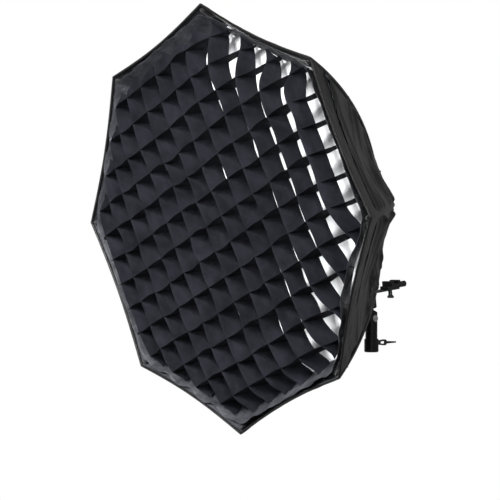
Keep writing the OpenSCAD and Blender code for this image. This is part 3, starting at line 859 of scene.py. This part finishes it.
    def band(self) -> bpy.types.Object:
        """Sew the front band: the shell's own surface from the rim to the panels.

        Random fields crumple it, by a half sine across its depth, and fade at its corners.

        Returns:
            The piece.
        """
        form = self.form
        k, u = around(64)
        t = np.linspace(0.0, self.lip_t + self.overlap, 20)[:, None]
        plain = form.points(self.box, k, u, t)
        depth = np.clip(form.ridge_z(t) / self.lip_depth, 0, 1)
        fullness, corner_w = 0.7, 0.04
        out = ripples(plain, (1.3, 22, 3), (0.8, 9, 4))
        out = out * np.sin(np.pi * depth) ** fullness * ease((1 - np.abs(u)) / corner_w)
        skin = Skin(form.points(self.box, k, u, t, out), wrap_columns=True,
                    flat=band_flat(len(k), self.girth[0], form.ridge_z(t)))
        piece = self.finishes.piece("front_band", [skin], Finishes.NYLON, Finishes.BAND,
                                    inside=self.box.behind(0.02), wall=self.cloth_wall)
        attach(piece, "head")
        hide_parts("front_lip")
        return piece

    def hem(self) -> bpy.types.Object:
        """Roll the front edge into a hem: a bar along the rim, with a slowly varying radius.

        Returns:
            The piece.
        """
        k, u = around(48)
        rim_t, inside, uneven = 0.006, 0.6 * MM, 0.22
        path = self.form.points(self.box, k, u, np.full(len(k), rim_t), -inside)
        a = self.form.angle(k, u)
        radial = self.box.place(np.cos(a), np.sin(a), 0 * a) - self.box.origin
        size = self.hem_r * (1 + uneven * wander(path, 14 * MM, 12))
        skin = tube(path, size, radial, sides=10, closed=True)
        piece = self.finishes.piece("front_hem", [skin], Finishes.NYLON)
        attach(piece, "head")
        return piece

    def hook_tape(self) -> bpy.types.Object:
        """Sew the loop tape inside the band, which holds the diffuser and the grid.

        It is the shell's own surface between two depths, moved inwards.

        Returns:
            The piece.
        """
        form = self.form
        k, u = around(32)
        t = np.linspace(*(float(form.ridge_at(z)) for z in self.loop_z), 6)[:, None]
        skin = Skin(form.points(self.box, k, u, t, -self.loop_in), wrap_columns=True,
                    flat=band_flat(len(k), self.girth[1], form.ridge_z(t)))
        piece = self.finishes.piece("loop_tape", [skin], Finishes.PILE,
                                    inside=self.box.behind(0.02), wall=self.loop_wall)
        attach(piece, "head")
        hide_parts("hook_strip")
        return piece

    def pockets(self) -> bpy.types.Object:
        """Sew a webbing pocket over each rod's tip: a flattened tube along the rod's own arc.

        Its radius rises by a smooth step from a third at the closed end.

        Returns:
            The piece.
        """
        form = self.form
        skins = []
        r, mid_r, mid_z, rim = form.arc
        s = np.linspace(0, 1, 16)
        a = rim + self.pocket_start + s * self.pocket_l / r
        rr = mid_r + (r - self.pocket_in) * np.cos(a)
        zz = mid_z + (r - self.pocket_in) * np.sin(a)
        closed, rise = 0.35, 0.18
        size = self.pocket_r * (closed + (1 - closed) * ease(s / rise))
        for k in range(1, PANELS + 1):
            clock = form.rib_angle(k)
            path = self.box.place(rr * math.cos(clock), rr * math.sin(clock), zz)
            tangent = -math.sin(clock) * self.box.right + math.cos(clock) * self.box.up
            skins.append(tube(path, size, np.tile(tangent, (len(s), 1)), sides=16, squash=0.8))
        piece = self.finishes.piece("rod_pocket_sleeves", skins, Finishes.WEBBING)
        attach(piece, "head")
        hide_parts("rod_pockets")
        return piece

    def diffuser(self) -> bpy.types.Object:
        """Stretch the white front cloth: an octagon drawn as rings round a middle point.

        Each ring is the band's outline at the cloth's depth, shrunk towards the middle, with
        shallow pulls from the corners and a slight hollow.

        Returns:
            The piece.
        """
        form = self.form
        k, u = around(24)
        (everywhere, corners), corner_w, hole, strain = self.diffuser_in, 0.05, 0.004, 0.7 * MM
        edge = form.radius(u, form.ridge_at(self.diffuser_z)) - everywhere
        edge = edge - corners * bell(1 - np.abs(u), corner_w)
        share = np.linspace(hole, 1, 40)[:, None]
        a, r = form.angle(k, u), edge * share
        x, y = r * np.cos(a), r * np.sin(a)
        pull = strain * np.cos(PANELS * a) * share ** 3
        pull = pull + ripples(together(x, y, 0 * r), (0.8, 70, 21))
        flat = together(x, y)
        skin = Skin(self.box.place(x, y, self.diffuser_z + pull * (1 - share ** 12)),
                    wrap_columns=True, flat=np.concatenate([flat, flat[:, :1]], 1))
        piece = self.finishes.piece("diffuser_cloth", [skin], Finishes.DIFFUSER,
                                    inside=self.box.behind(0.3), wall=self.diffuser_wall)
        self.close_middle(piece, len(k))
        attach(piece, "head")
        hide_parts("front_diffuser")
        return piece

    @staticmethod
    def close_middle(piece: bpy.types.Object, columns: int) -> None:
        """Close the small hole in the first ring of a cloth drawn as rings.

        Args:
            piece: The cloth.
            columns: Points in the ring.
        """
        body = bmesh.new()
        body.from_mesh(piece.data)
        body.verts.ensure_lookup_table()
        face = body.faces.new([body.verts[i] for i in range(columns)])
        face.smooth = True
        face.normal_update()
        body.faces.ensure_lookup_table()
        if face.normal.dot(body.faces[0].normal) < 0:
            face.normal_flip()
        body.to_mesh(piece.data)
        body.free()

    def collar(self) -> bpy.types.Object:
        """Gather the rear collar over the ring: an annulus with a gap for the upright bar.

        It rises by a smooth step towards the axis, and its folds are a fast sine whose phase
        sways with a slow one.

        Returns:
            The piece.
        """
        folds, sways, gap_edge, step, width = 46, 3, 0.05, 2.1 * MM, 18 * MM
        a = np.linspace(0, 2 * np.pi, 192, endpoint=False)[None, :]
        s = np.linspace(0, 1, 14)[:, None]
        outer = self.form.hub_r - self.collar_edge
        ring = outer - (outer - self.collar_r) * s
        fold = self.collar_fold * np.sin(a * folds + 2 * np.sin(a * sways)) * ease(s / 0.3)
        low, rise = self.collar_rise
        z = self.box.depth_of("speed_ring") + low + rise * ease(s) + fold
        points = self.box.place(ring * np.cos(a), ring * np.sin(a), z)
        clear = ease((np.abs(wrap(a - np.pi * 1.5)) - self.collar_gap) / gap_edge)
        order = np.where(clear[0] > 0.5)[0]
        order = np.roll(order, -int(np.argmax(np.diff(order) > 1)) - 1)
        skin = Skin(points[:, order], flat=together(order[None, :] * step, s * width))
        piece = self.finishes.piece("rear_collar_cloth", [skin], Finishes.NYLON,
                                    inside=self.box.origin, wall=self.collar_wall)
        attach(piece, "head")
        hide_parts("rear_collar")
        return piece

    def make(self) -> None:
        """Build every piece of the shell."""
        for k in range(1, PANELS + 1):
            tape = self.seam(k)
            cloth = self.panel(k)
            LOG.info("piece %s with %s", cloth.name, tape.name)
        band, hem = self.band(), self.hem()
        for piece in (band, hem, self.hook_tape(), self.pockets(), self.diffuser(),
                      self.collar()):
            LOG.info("piece %s", piece.name)


@dataclass
class Grid:
    """The fabric grid: two families of strips slotted through each other, sewn to a border band.

    Its turned axes are square to every other side of its outline, half a panel round from x
    and y.

    Attributes:
        box: The softbox's frame.
        form: The dome's form.
        finishes: The finishes.
        cells: Cells across the grid.
        depth: Depth of the strips.
        swell: How far the middle stands forward.
        edge_swell: Swell left at the border.
        slope: Distance from the border over which the swell rises.
        sag: How far the middle hangs down.
        pull: How far a strip draws the border inwards.
        taper: Share of that pull that is lost from the border's front edge to its rear one.
        lining: Thicknesses of the front band and of the loop tape, as the solids have them.
        gap: Clearance to the band.
        front: Depth of the border's front edge.
        seam: Depths between which a strip is sewn to the border; it is cut narrower towards
            its ends.
        ease_in: Distance from the border over which a strip keeps that narrower cut, and how
            much shorter it is where strips keep their full depth.
        slip: How far the border sits clockwise of the lattice, everywhere and more on its left.
        loose: How far the border has come forward and inwards at its lower right side.
        crowd: How far the outermost cells have moved outwards at the upper right side.
        crowd_w: Distance from the border within which they have.
        notch: Depth and reach by which the strips' ends are cut deeper on the slanting right
            sides.
        deeper: How much farther back the strips' rear edge lies between middle and border.
        sway: How far slow random fields move the strips sideways, up and back.
        belly: Slack of a strip between two crossings, at its front and its rear edge.
        strip_wall: Thickness of a strip.
        seam_reach: Distance along the border over which a strip's seam draws it in.
        girth: Length round the border.
        border_wall: Thickness of the border.
        per_cell: Points along a strip in each cell.
        deep: Points from a strip's front edge to its rear one.
    """

    box: BoxFrame
    form: ShellForm
    finishes: Finishes
    cells: int = 14
    depth: float = 40.5 * MM
    swell: float = 33 * MM
    edge_swell: float = 5 * MM
    slope: float = 37 * MM
    sag: float = 6 * MM
    pull: float = 7 * MM
    taper: float = 0.3
    lining: tuple[float, float] = (1.6 * MM, 1.2 * MM)
    gap: float = 2.5 * MM
    front: float = 1 * MM
    seam: tuple[float, float] = (13 * MM, 37 * MM)
    ease_in: tuple[float, float] = (19 * MM, 9 * MM)
    slip: tuple[float, float] = (3 * MM, 16 * MM)
    loose: tuple[float, float] = (12 * MM, 2 * MM)
    crowd: float = 3 * MM
    crowd_w: float = 110 * MM
    notch: tuple[float, float] = (9 * MM, 16 * MM)
    deeper: float = 1.5 * MM
    sway: tuple[float, float, float] = (2.6 * MM, 2.4 * MM, 1.6 * MM)
    belly: tuple[float, float] = (1.7 * MM, 1.3 * MM)
    strip_wall: float = 0.4 * MM
    seam_reach: float = 12 * MM
    girth: float = 2.06
    border_wall: float = 0.9 * MM
    per_cell: int = 8
    deep: int = 7

    def lip_corner(self, z: float) -> float:
        """Corner radius of the free space inside the band: the rib's, less what the side takes up.

        Args:
            z: Depth.

        Returns:
            The radius.
        """
        t = self.form.ridge_at(z)
        taken = sum(self.lining) + float(self.form.drawn_in(t)) + self.gap
        return float(self.form.ridge_r(t)) - taken / math.cos(self.form.half)

    def apothem(self, z: np.ndarray | float) -> np.ndarray | float:
        """Half width of the grid, along a straight cone.

        Args:
            z: Depth.

        Returns:
            The half width.
        """
        front, rear = self.lip_corner(self.front), self.lip_corner(self.front + self.depth)
        corner = front - (front - rear) * (z - self.front) / self.depth
        return corner * math.cos(self.form.half)

    @property
    def span(self) -> float:
        """Half width of the grid at its front edge."""
        return self.apothem(self.front)

    @property
    def pitch(self) -> float:
        """Distance between two strips."""
        return 2 * self.span / self.cells

    def inset(self, x: np.ndarray, y: np.ndarray) -> np.ndarray:
        """Distance from the nearest side of the grid's outline, in its turned axes."""
        span, x, y = self.span, np.abs(x), np.abs(y)
        return np.maximum(0, np.minimum(span - np.maximum(x, y), span - (x + y) / math.sqrt(2)))

    def bulge(self, x: np.ndarray, y: np.ndarray) -> np.ndarray:
        """How far the strips' front edge stands forward: one less a falling exponential inwards."""
        rise = 1 - np.exp(-self.inset(x, y) / self.slope)
        return self.edge_swell + (self.swell - self.edge_swell) * rise

    def freed(self, angle: np.ndarray) -> np.ndarray:
        """Share of the loose stretch, by a smooth step from the middle of the lower right side."""
        middle, top, fall = -0.8, 1.25, 1.6
        return ease(top - np.abs(angle / self.form.half - middle) * fall)

    def tight(self, angle: np.ndarray) -> np.ndarray:
        """Share of full depth that strips' ends keep: one less a hill at the upper right."""
        middle, width = 0.5, 1.35
        return 1 - bell(wrap(angle - middle), width)

    def notched(self, angle: np.ndarray) -> np.ndarray:
        """Share of the deeper cut at the strips' ends: a hill at each slanting right side.

        Args:
            angle: Angle round the axis.

        Returns:
            The share, one at the upper right and about half at the lower right.
        """
        width, sides = 0.35, ((3 * self.form.half, 1.0), (-self.form.half, 0.6))
        return sum(share * bell(angle - side, width) for side, share in sides)

    def pulled(self, angle: np.ndarray) -> np.ndarray:
        """How far the strips pull the border in.

        A cosine makes it most on the slanting sides, and it is less where the border is loose
        and, by a hill, at the upper right side.

        Args:
            angle: Angle round the axis.

        Returns:
            Distance inwards.
        """
        mean, swing, width, loose_less, upper_less = 0.6, 0.4, 0.3, 0.7, 0.5
        slanting = mean - swing * np.cos(4 * (angle - self.form.half))
        upper = bell(angle - 3 * self.form.half, width)
        return self.pull * slanting * (1 - loose_less * self.freed(angle) - upper_less * upper)

    def slipped(self, px: np.ndarray, py: np.ndarray,
                share: np.ndarray) -> tuple[np.ndarray, np.ndarray]:
        """Move points clockwise along the border's nearest side, least at its corners.

        Args:
            px: Place to the right of the axis.
            py: Place above the axis.
            share: Share of the border's slip.

        Returns:
            The moved places.
        """
        angle = np.arctan2(py, px)
        eighth = 2 * self.form.half
        side = (np.floor(angle / eighth) + 0.5) * eighth
        slip = self.slip[0] + self.slip[1] * np.maximum(0, -np.cos(side)) ** 2
        slip = slip * np.cos(4 * (angle - side)) * share
        back = self.loose[1] * self.freed(angle) * share
        return (px + slip * np.sin(side) - back * np.cos(side),
                py - slip * np.cos(side) - back * np.sin(side))

    def field(self, x: np.ndarray, y: np.ndarray, w: np.ndarray, z: np.ndarray) -> np.ndarray:
        """Place a point of either family, in the grid's turned axes.

        The point is crowded outwards and slipped near the border, carried down by the sag and
        swayed by slow random fields, stronger at the front edge than at the rear one, so both
        families move together where they cross.

        Args:
            x: Place along the first axis.
            y: Place along the second axis.
            w: 0 at the front edge and 1 at the rear edge.
            z: Depth.

        Returns:
            Positions in the row frame.
        """
        crowd_angle, slip_w, slow, slow_z = 0.45, 24 * MM, 66 * MM, 70 * MM
        at_front, less_behind = 1.15, 0.6
        inner = 1 - np.minimum(1, (np.hypot(x, y) / self.span) ** 4)
        cos, sin = math.cos(self.form.half), math.sin(self.form.half)
        px, py = x * cos - y * sin, x * sin + y * cos
        inset = self.inset(x, y)
        crowd = self.crowd * bell(np.arctan2(py, px) - self.form.half, crowd_angle)
        crowd = crowd * np.sin(np.pi * np.minimum(1, inset / self.crowd_w))
        px, py = px + crowd * cos, py + crowd * sin
        px, py = self.slipped(px, py, np.exp(-inset / slip_w))
        at = together(px, py, 0 * px)
        sway = inner * (at_front - less_behind * w)
        px = px + sway * self.sway[0] * wander(at, slow, 31)
        py = py + sway * self.sway[1] * wander(at, slow, 32) - self.sag * inner
        z = z + inner * (self.sway[2] * wander(at, slow_z, 33) + self.deeper * w)
        return self.box.place(px, py, z)

    def end(self, offset: float, z: np.ndarray | float, pull: float) -> np.ndarray:
        """Distance from a strip's middle to the border, less what the strip pulls in.

        Args:
            offset: Distance of the strip from the axis.
            z: Depth.
            pull: How far the border is pulled in there.

        Returns:
            The distance, to the side that crosses the strip or to the slanting one.
        """
        met = 0.72
        a = self.apothem(z) - pull * met * (1 - self.taper * z / self.depth)
        return np.minimum(a, math.sqrt(2) * a - abs(offset))

    def stations(self, low: np.ndarray, high: np.ndarray, reach: float) -> np.ndarray:
        """Spread points along a strip, the same number in every cell and in both end pieces.

        Args:
            low: Length from the strip's middle to its first end, for each row.
            high: Length to its other end.
            reach: About the same length, which tells how many strips it crosses.

        Returns:
            Places along the strip, one row for each depth.
        """
        shortest = 0.15
        last = int(math.floor(reach / self.pitch - shortest))
        inner = np.arange(-last * self.per_cell, last * self.per_cell + 1)
        inner = inner / self.per_cell * self.pitch
        tail = np.linspace(0, 1, self.per_cell + 1)[1:]
        crossed = last * self.pitch
        return np.concatenate([-crossed - (low - crossed) * tail[::-1],
                               np.broadcast_to(inner, (self.deep, len(inner))),
                               crossed + (high - crossed) * tail], axis=1)

    def strip(self, offset: float, turned: bool, number: int) -> Skin:
        """Cut one strip of the lattice and bend it into place.

        Its length runs from border to border, with the same number of points in every cell.
        Between two crossings it bellies out to one side by a half sine, more at the front than
        at the rear. Towards its ends it turns, by a hill, into the narrower cut at the seam.

        Args:
            offset: Distance of the strip from the axis.
            turned: Whether the strip runs along the first axis.
            number: Number of the strip, which seeds its slack.

        Returns:
            The strip's skin.
        """
        w = np.linspace(0, 1, self.deep)[:, None]
        sewn = self.seam[0] + (self.seam[1] - self.seam[0]) * w
        reach = float(self.end(offset, self.seam[1], self.pull))
        beyond, margin = 1.01, 12 * MM
        slanting = abs(offset) + reach > beyond * self.apothem(self.seam[1]) + margin
        tips = np.array([-reach, reach])
        tips = np.arctan2(offset, tips) if turned else np.arctan2(tips, offset)
        low, high = (self.end(offset, sewn, pull) for pull in self.pulled(tips + self.form.half))
        s = self.stations(low, high, reach)
        cell = np.floor(s / self.pitch + 1e-9)
        part = s / self.pitch - cell
        table = 64
        slack = np.random.default_rng(500 + number).normal(0, 1, (2, table))
        slack = slack[:, (cell + table // 2).astype(int)]
        front, back = self.belly[0] * slack[0] * (1 - w), self.belly[1] * slack[1] * w
        across = offset + np.sin(np.pi * part) * (front + back)
        x, y = (s, across) if turned else (across, s)
        z = -self.bulge(offset, s) + self.depth * w
        square_to_slant = 0.71
        near = (np.where(s < 0, low, high) - np.abs(s)) * (square_to_slant if slanting else 1.0)
        angle = np.arctan2(offset, s) if turned else np.arctan2(s, offset)
        angle = wrap(angle + self.form.half)
        tight, notched = self.tight(angle), self.notched(angle)
        sewn = (sewn - (sewn[0] - self.front) * tight * (1 - w)
                + self.notch[0] * notched * (1 - w))
        reach = self.ease_in[0] - self.ease_in[1] * tight + self.notch[1] * notched
        z += (sewn - self.loose[0] * self.freed(angle) - z) * bell(near, reach)
        return Skin(self.field(x, y, w, z), flat=together(s, w * self.depth))

    def strips(self, name: str, turned: bool) -> bpy.types.Object:
        """Sew one family of strips.

        Args:
            name: Name of the piece.
            turned: Whether the strips run along the first axis.

        Returns:
            The piece.
        """
        half = self.cells // 2 - 1
        skins = [self.strip(k * self.pitch, turned, k + 50 * turned)
                 for k in range(-half, half + 1)]
        aside = self.box.up if turned else self.box.right
        piece = self.finishes.piece(name, skins, Finishes.GRID, inside=self.box.origin - 5 * aside,
                                    wall=self.strip_wall, offset=0)
        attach(piece, "grid")
        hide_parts("grid_lattice")
        return piece

    def border(self) -> bpy.types.Object:
        """Sew the border band round the grid's outline.

        A hill draws it inwards wherever a strip is sewn to it, and random fields ruffle it
        between and along its front edge.

        Returns:
            The piece.
        """
        k, u = around(72)
        w = np.linspace(0, 1, 12)[:, None]
        z = self.front + self.depth * w
        apothem = self.apothem(z)
        mid = math.pi / 2 - 2 * self.form.half * (k - 0.5)
        run = u * apothem * math.tan(self.form.half)
        bx = apothem * np.cos(mid) + run * np.sin(mid)
        by = apothem * np.sin(mid) - run * np.cos(mid)
        angle = np.arctan2(by, bx)
        near = self.seam_distance(k, mid, bx, by)
        between, calm_w, clearance, proud = 0.28, 9 * MM, 0.3 * MM, 1.0 * MM
        inward = self.pulled(angle) * (bell(near, self.seam_reach) - between)
        plain = self.box.place(bx, by, z)
        ruffle = ripples(plain, (0.95, 11, 61), (0.8, 26, 62)) * (1 - bell(near, calm_w))
        r = 1 - (inward * (1 - self.taper * w) + ruffle + clearance) / np.hypot(bx, by)
        front_wave = ripples(plain, (1.6, 30, 63)) * (1 - w)
        bx, by = self.slipped(bx * r, by * r, np.ones_like(z))
        forward = self.loose[0] * self.freed(angle) + proud * (1 - w) - front_wave
        skin = Skin(self.box.place(bx, by, z - forward), wrap_columns=True,
                    flat=band_flat(len(k), self.girth, z))
        piece = self.finishes.piece("grid_border_band", [skin], Finishes.BAND,
                                    inside=self.box.origin, wall=self.border_wall, offset=0)
        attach(piece, "grid")
        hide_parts("grid_border")
        return piece

    def seam_distance(self, k: np.ndarray, mid: np.ndarray, bx: np.ndarray,
                      by: np.ndarray) -> np.ndarray:
        """Distance along the border from the nearest seam of a strip.

        Args:
            k: Number of the border's side; the odd ones slant.
            mid: Angle of that side's middle.
            bx: Place to the right of the axis.
            by: Place above the axis.

        Returns:
            The distance. On a slanting side the strips of both families are sewn in.
        """
        cos, sin = math.cos(self.form.half), math.sin(self.form.half)
        x, y = (part / self.pitch for part in (bx * cos + by * sin, -bx * sin + by * cos))
        x, y = (np.abs(part - np.round(part)) * self.pitch for part in (x, y))
        upright = np.abs(np.cos(mid - self.form.half)) > 0.9
        return np.where(k % 2 == 1, np.minimum(x, y) * math.sqrt(2), np.where(upright, y, x))

    def make(self) -> None:
        """Build every piece of the grid."""
        for piece in (self.border(), self.strips("grid_strips_upright", False),
                      self.strips("grid_strips_level", True)):
            LOG.info("piece %s", piece.name)


@dataclass
class Bracket:
    """The metal and plastic parts, whose CAD solids are their final shapes.

    Attributes:
        finishes: The finishes.
        looks: Each part's finish.
    """

    finishes: Finishes
    looks: dict[str, Finish] = field(default_factory=lambda: {
        "speed_ring": Finishes.RING, "ring_arm": Finishes.BRACKET,
        "ring_screws": Finishes.SCREW, "shoe_plate": Finishes.BRACKET,
        "plate_screws": Finishes.SCREW, "shoe_base": Finishes.PLASTIC,
        "shoe_jaw": Finishes.PLASTIC, "shoe_knob": Finishes.PLASTIC,
        "shoe_thumb_screw": Finishes.THUMB, "tilt_tongue": Finishes.BRACKET,
        "stand_socket": Finishes.SOCKET, "tilt_bolt": Finishes.BOLT,
        "tilt_lever": Finishes.PLASTIC, "stand_lever": Finishes.PLASTIC,
        "collar_loops": Finishes.ELASTIC,
        **{f"rod_{k}": Finishes.FIBREGLASS for k in range(1, PANELS + 1)}})

    def make(self) -> None:
        """Dress each CAD node that stays."""
        for node, finish in self.looks.items():
            self.finishes.dress(frame["nodes"][node], finish)
            LOG.info("node %s in %s", node, finish.name)


@dataclass
class Studio:
    """Floor, lamps and camera.

    Attributes:
        box: The softbox's frame.
        azimuth: Camera's angle round the softbox, from straight in front towards its right.
        focal: Lens in millimetres on a sensor 36 mm wide.
        distance: Camera's distance from the point it looks at.
        aim: Where the camera looks, sideways and up from the middle of the front edge.
        beam: Angle over which a lamp spreads its light.
        floor_gap: How far the floor lies below the softbox, on which a stand would hold it.
        floor_white: Share of plain white in the floor as the camera sees it.
        mirrored: Share of the white surroundings that gloss mirrors.
        world_light: Strength of the even light from all round.
    """

    box: BoxFrame
    azimuth: float = math.radians(49.3)
    focal: float = 158.4
    distance: float = 3.5467
    aim: tuple[float, float] = (0.04804, -0.04721)
    beam: float = math.radians(50)
    floor_gap: float = 1.0
    floor_white: float = 0.75
    mirrored: float = 0.15
    world_light: float = 0.1

    def camera(self) -> None:
        """Set up the camera, level, at the softbox's right front."""
        sideways = np.array([math.cos(self.azimuth), math.sin(self.azimuth), 0.0])
        behind = np.array([math.sin(self.azimuth), -math.cos(self.azimuth), 0.0])
        target = self.box.origin + self.aim[0] * sideways + self.aim[1] * np.array([0.0, 0.0, 1.0])
        lens = bpy.data.cameras.new("camera")
        lens.lens, lens.sensor_width, lens.clip_end = self.focal, 36.0, 60.0
        camera = bpy.data.objects.new("camera", lens)
        bpy.context.scene.collection.objects.link(camera)
        turn = Matrix((sideways, (0.0, 0.0, 1.0), behind)).transposed().to_4x4()
        camera.matrix_world = Matrix.Translation(target + self.distance * behind) @ turn
        bpy.context.scene.camera = camera

    def lamp(self, name: str, at: tuple[float, float, float], size: float, watts: float) -> None:
        """Hang a square lamp that looks at the softbox.

        Args:
            name: Name of the lamp.
            at: Place in metres from the middle of the front edge.
            size: Side of the lamp.
            watts: Power.
        """
        light = bpy.data.lights.new(name, "AREA")
        light.shape, light.size, light.energy, light.spread = "SQUARE", size, watts, self.beam
        lamp = bpy.data.objects.new(name, light)
        bpy.context.scene.collection.objects.link(lamp)
        spot = Vector(self.box.origin + np.array(at))
        lamp.matrix_world = Matrix.Translation(spot) @ (
            Vector(self.box.origin) - spot).to_track_quat("-Z", "Y").to_matrix().to_4x4()

    def floor(self) -> None:
        """Lay a pale floor below: a disc with rings and spokes, nearly white to the camera."""
        low = float(CAD_BOX[0][2]) - self.floor_gap
        r = np.array([0.01, 0.5, 1.5, 3.0, 5.0])[:, None]
        a = np.linspace(0, 2 * np.pi, 64, endpoint=False)[None, :]
        skin = Skin(together(r * np.cos(a), r * np.sin(a), low + 0 * r * a), wrap_columns=True)
        floor = build("floor", [skin], inside=np.array([0.0, 0.0, low - 3]))
        material = bpy.data.materials.new("pale studio floor, painted")
        material.use_nodes = True
        tree = material.node_tree
        shader = tree.nodes["Principled BSDF"]
        grain = add(tree, "ShaderNodeTexNoise", None, {
            "Vector": add(tree, "ShaderNodeTexCoord").outputs["Object"], "Scale": 6.0}).outputs[0]
        colour = add(tree, "ShaderNodeMix", {"data_type": "RGBA"}, {
            0: grain, 6: linear("#e8e8e8"), 7: linear("#ececec")})
        tree.links.new(colour.outputs[2], shader.inputs["Base Color"])
        shader.inputs["Roughness"].default_value = 0.8
        white = add(tree, "ShaderNodeEmission", None, {"Strength": 1.0})
        share = add(tree, "ShaderNodeMath", {"operation": "MULTIPLY"}, {
            0: self.seen(tree), 1: self.floor_white})
        mixed = add(tree, "ShaderNodeMixShader", None, {
            0: share.outputs[0], 1: shader.outputs[0], 2: white.outputs[0]})
        tree.links.new(mixed.outputs[0], tree.nodes["Material Output"].inputs[0])
        floor.data.materials.append(material)

    def seen(self, tree: bpy.types.NodeTree) -> bpy.types.NodeSocket:
        """Tell what the camera sees from what only lights the softbox.

        Args:
            tree: The node tree.

        Returns:
            A socket that is 1 for what the camera sees, directly or through something clear,
            and small for what gloss mirrors.
        """
        path = add(tree, "ShaderNodeLightPath")
        mirrored = add(tree, "ShaderNodeMath", {"operation": "MULTIPLY"}, {
            0: path.outputs["Is Glossy Ray"], 1: self.mirrored})
        first = add(tree, "ShaderNodeMath", {"operation": "MAXIMUM"}, {
            0: path.outputs["Is Camera Ray"], 1: mirrored.outputs[0]})
        return add(tree, "ShaderNodeMath", {"operation": "MAXIMUM"}, {
            0: first.outputs[0], 1: path.outputs["Is Transmission Ray"]}).outputs[0]

    def world(self) -> None:
        """Set an even pale world, white where the camera sees it."""
        world = bpy.data.worlds.new("studio")
        world.use_nodes = True
        tree = world.node_tree
        soft = tree.nodes["Background"]
        soft.inputs[0].default_value = linear("#ffffff")
        soft.inputs[1].default_value = self.world_light
        white = add(tree, "ShaderNodeBackground", None, {0: linear("#ffffff"), 1: 1.0})
        mixed = add(tree, "ShaderNodeMixShader", None, {
            0: self.seen(tree), 1: soft.outputs[0], 2: white.outputs[0]})
        tree.links.new(mixed.outputs[0], tree.nodes["World Output"].inputs[0])
        bpy.context.scene.world = world

    def make(self) -> None:
        """Set up the studio."""
        self.camera()
        self.world()
        self.floor()
        self.lamp("key", (0.25, -2.4, 0.9), 0.9, 15.5)
        self.lamp("fill", (2.5, -2.15, 1.0), 1.2, 5.5)
        self.lamp("side", (2.4, 0.3, 2.0), 0.7, 2.2)
        bpy.context.scene.view_settings.view_transform = "Standard"


def main() -> None:
    """Build the softbox, group by group, and its studio."""
    logging.basicConfig(level=logging.INFO, format="%(name)s: %(message)s")
    box = BoxFrame.read()
    low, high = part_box("front_lip")
    hub_low, hub_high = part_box("rear_collar")
    form = ShellForm(corner_r=(high[0] - low[0]) / 2, hub_r=(hub_high[0] - hub_low[0]) / 2,
                     depth=box.depth_of("speed_ring"))
    finishes = Finishes()
    Studio(box).make()
    Shell(box, form, finishes).make()
    Grid(box, form, finishes).make()
    Bracket(finishes).make()


if __name__ == "__main__":
    main()
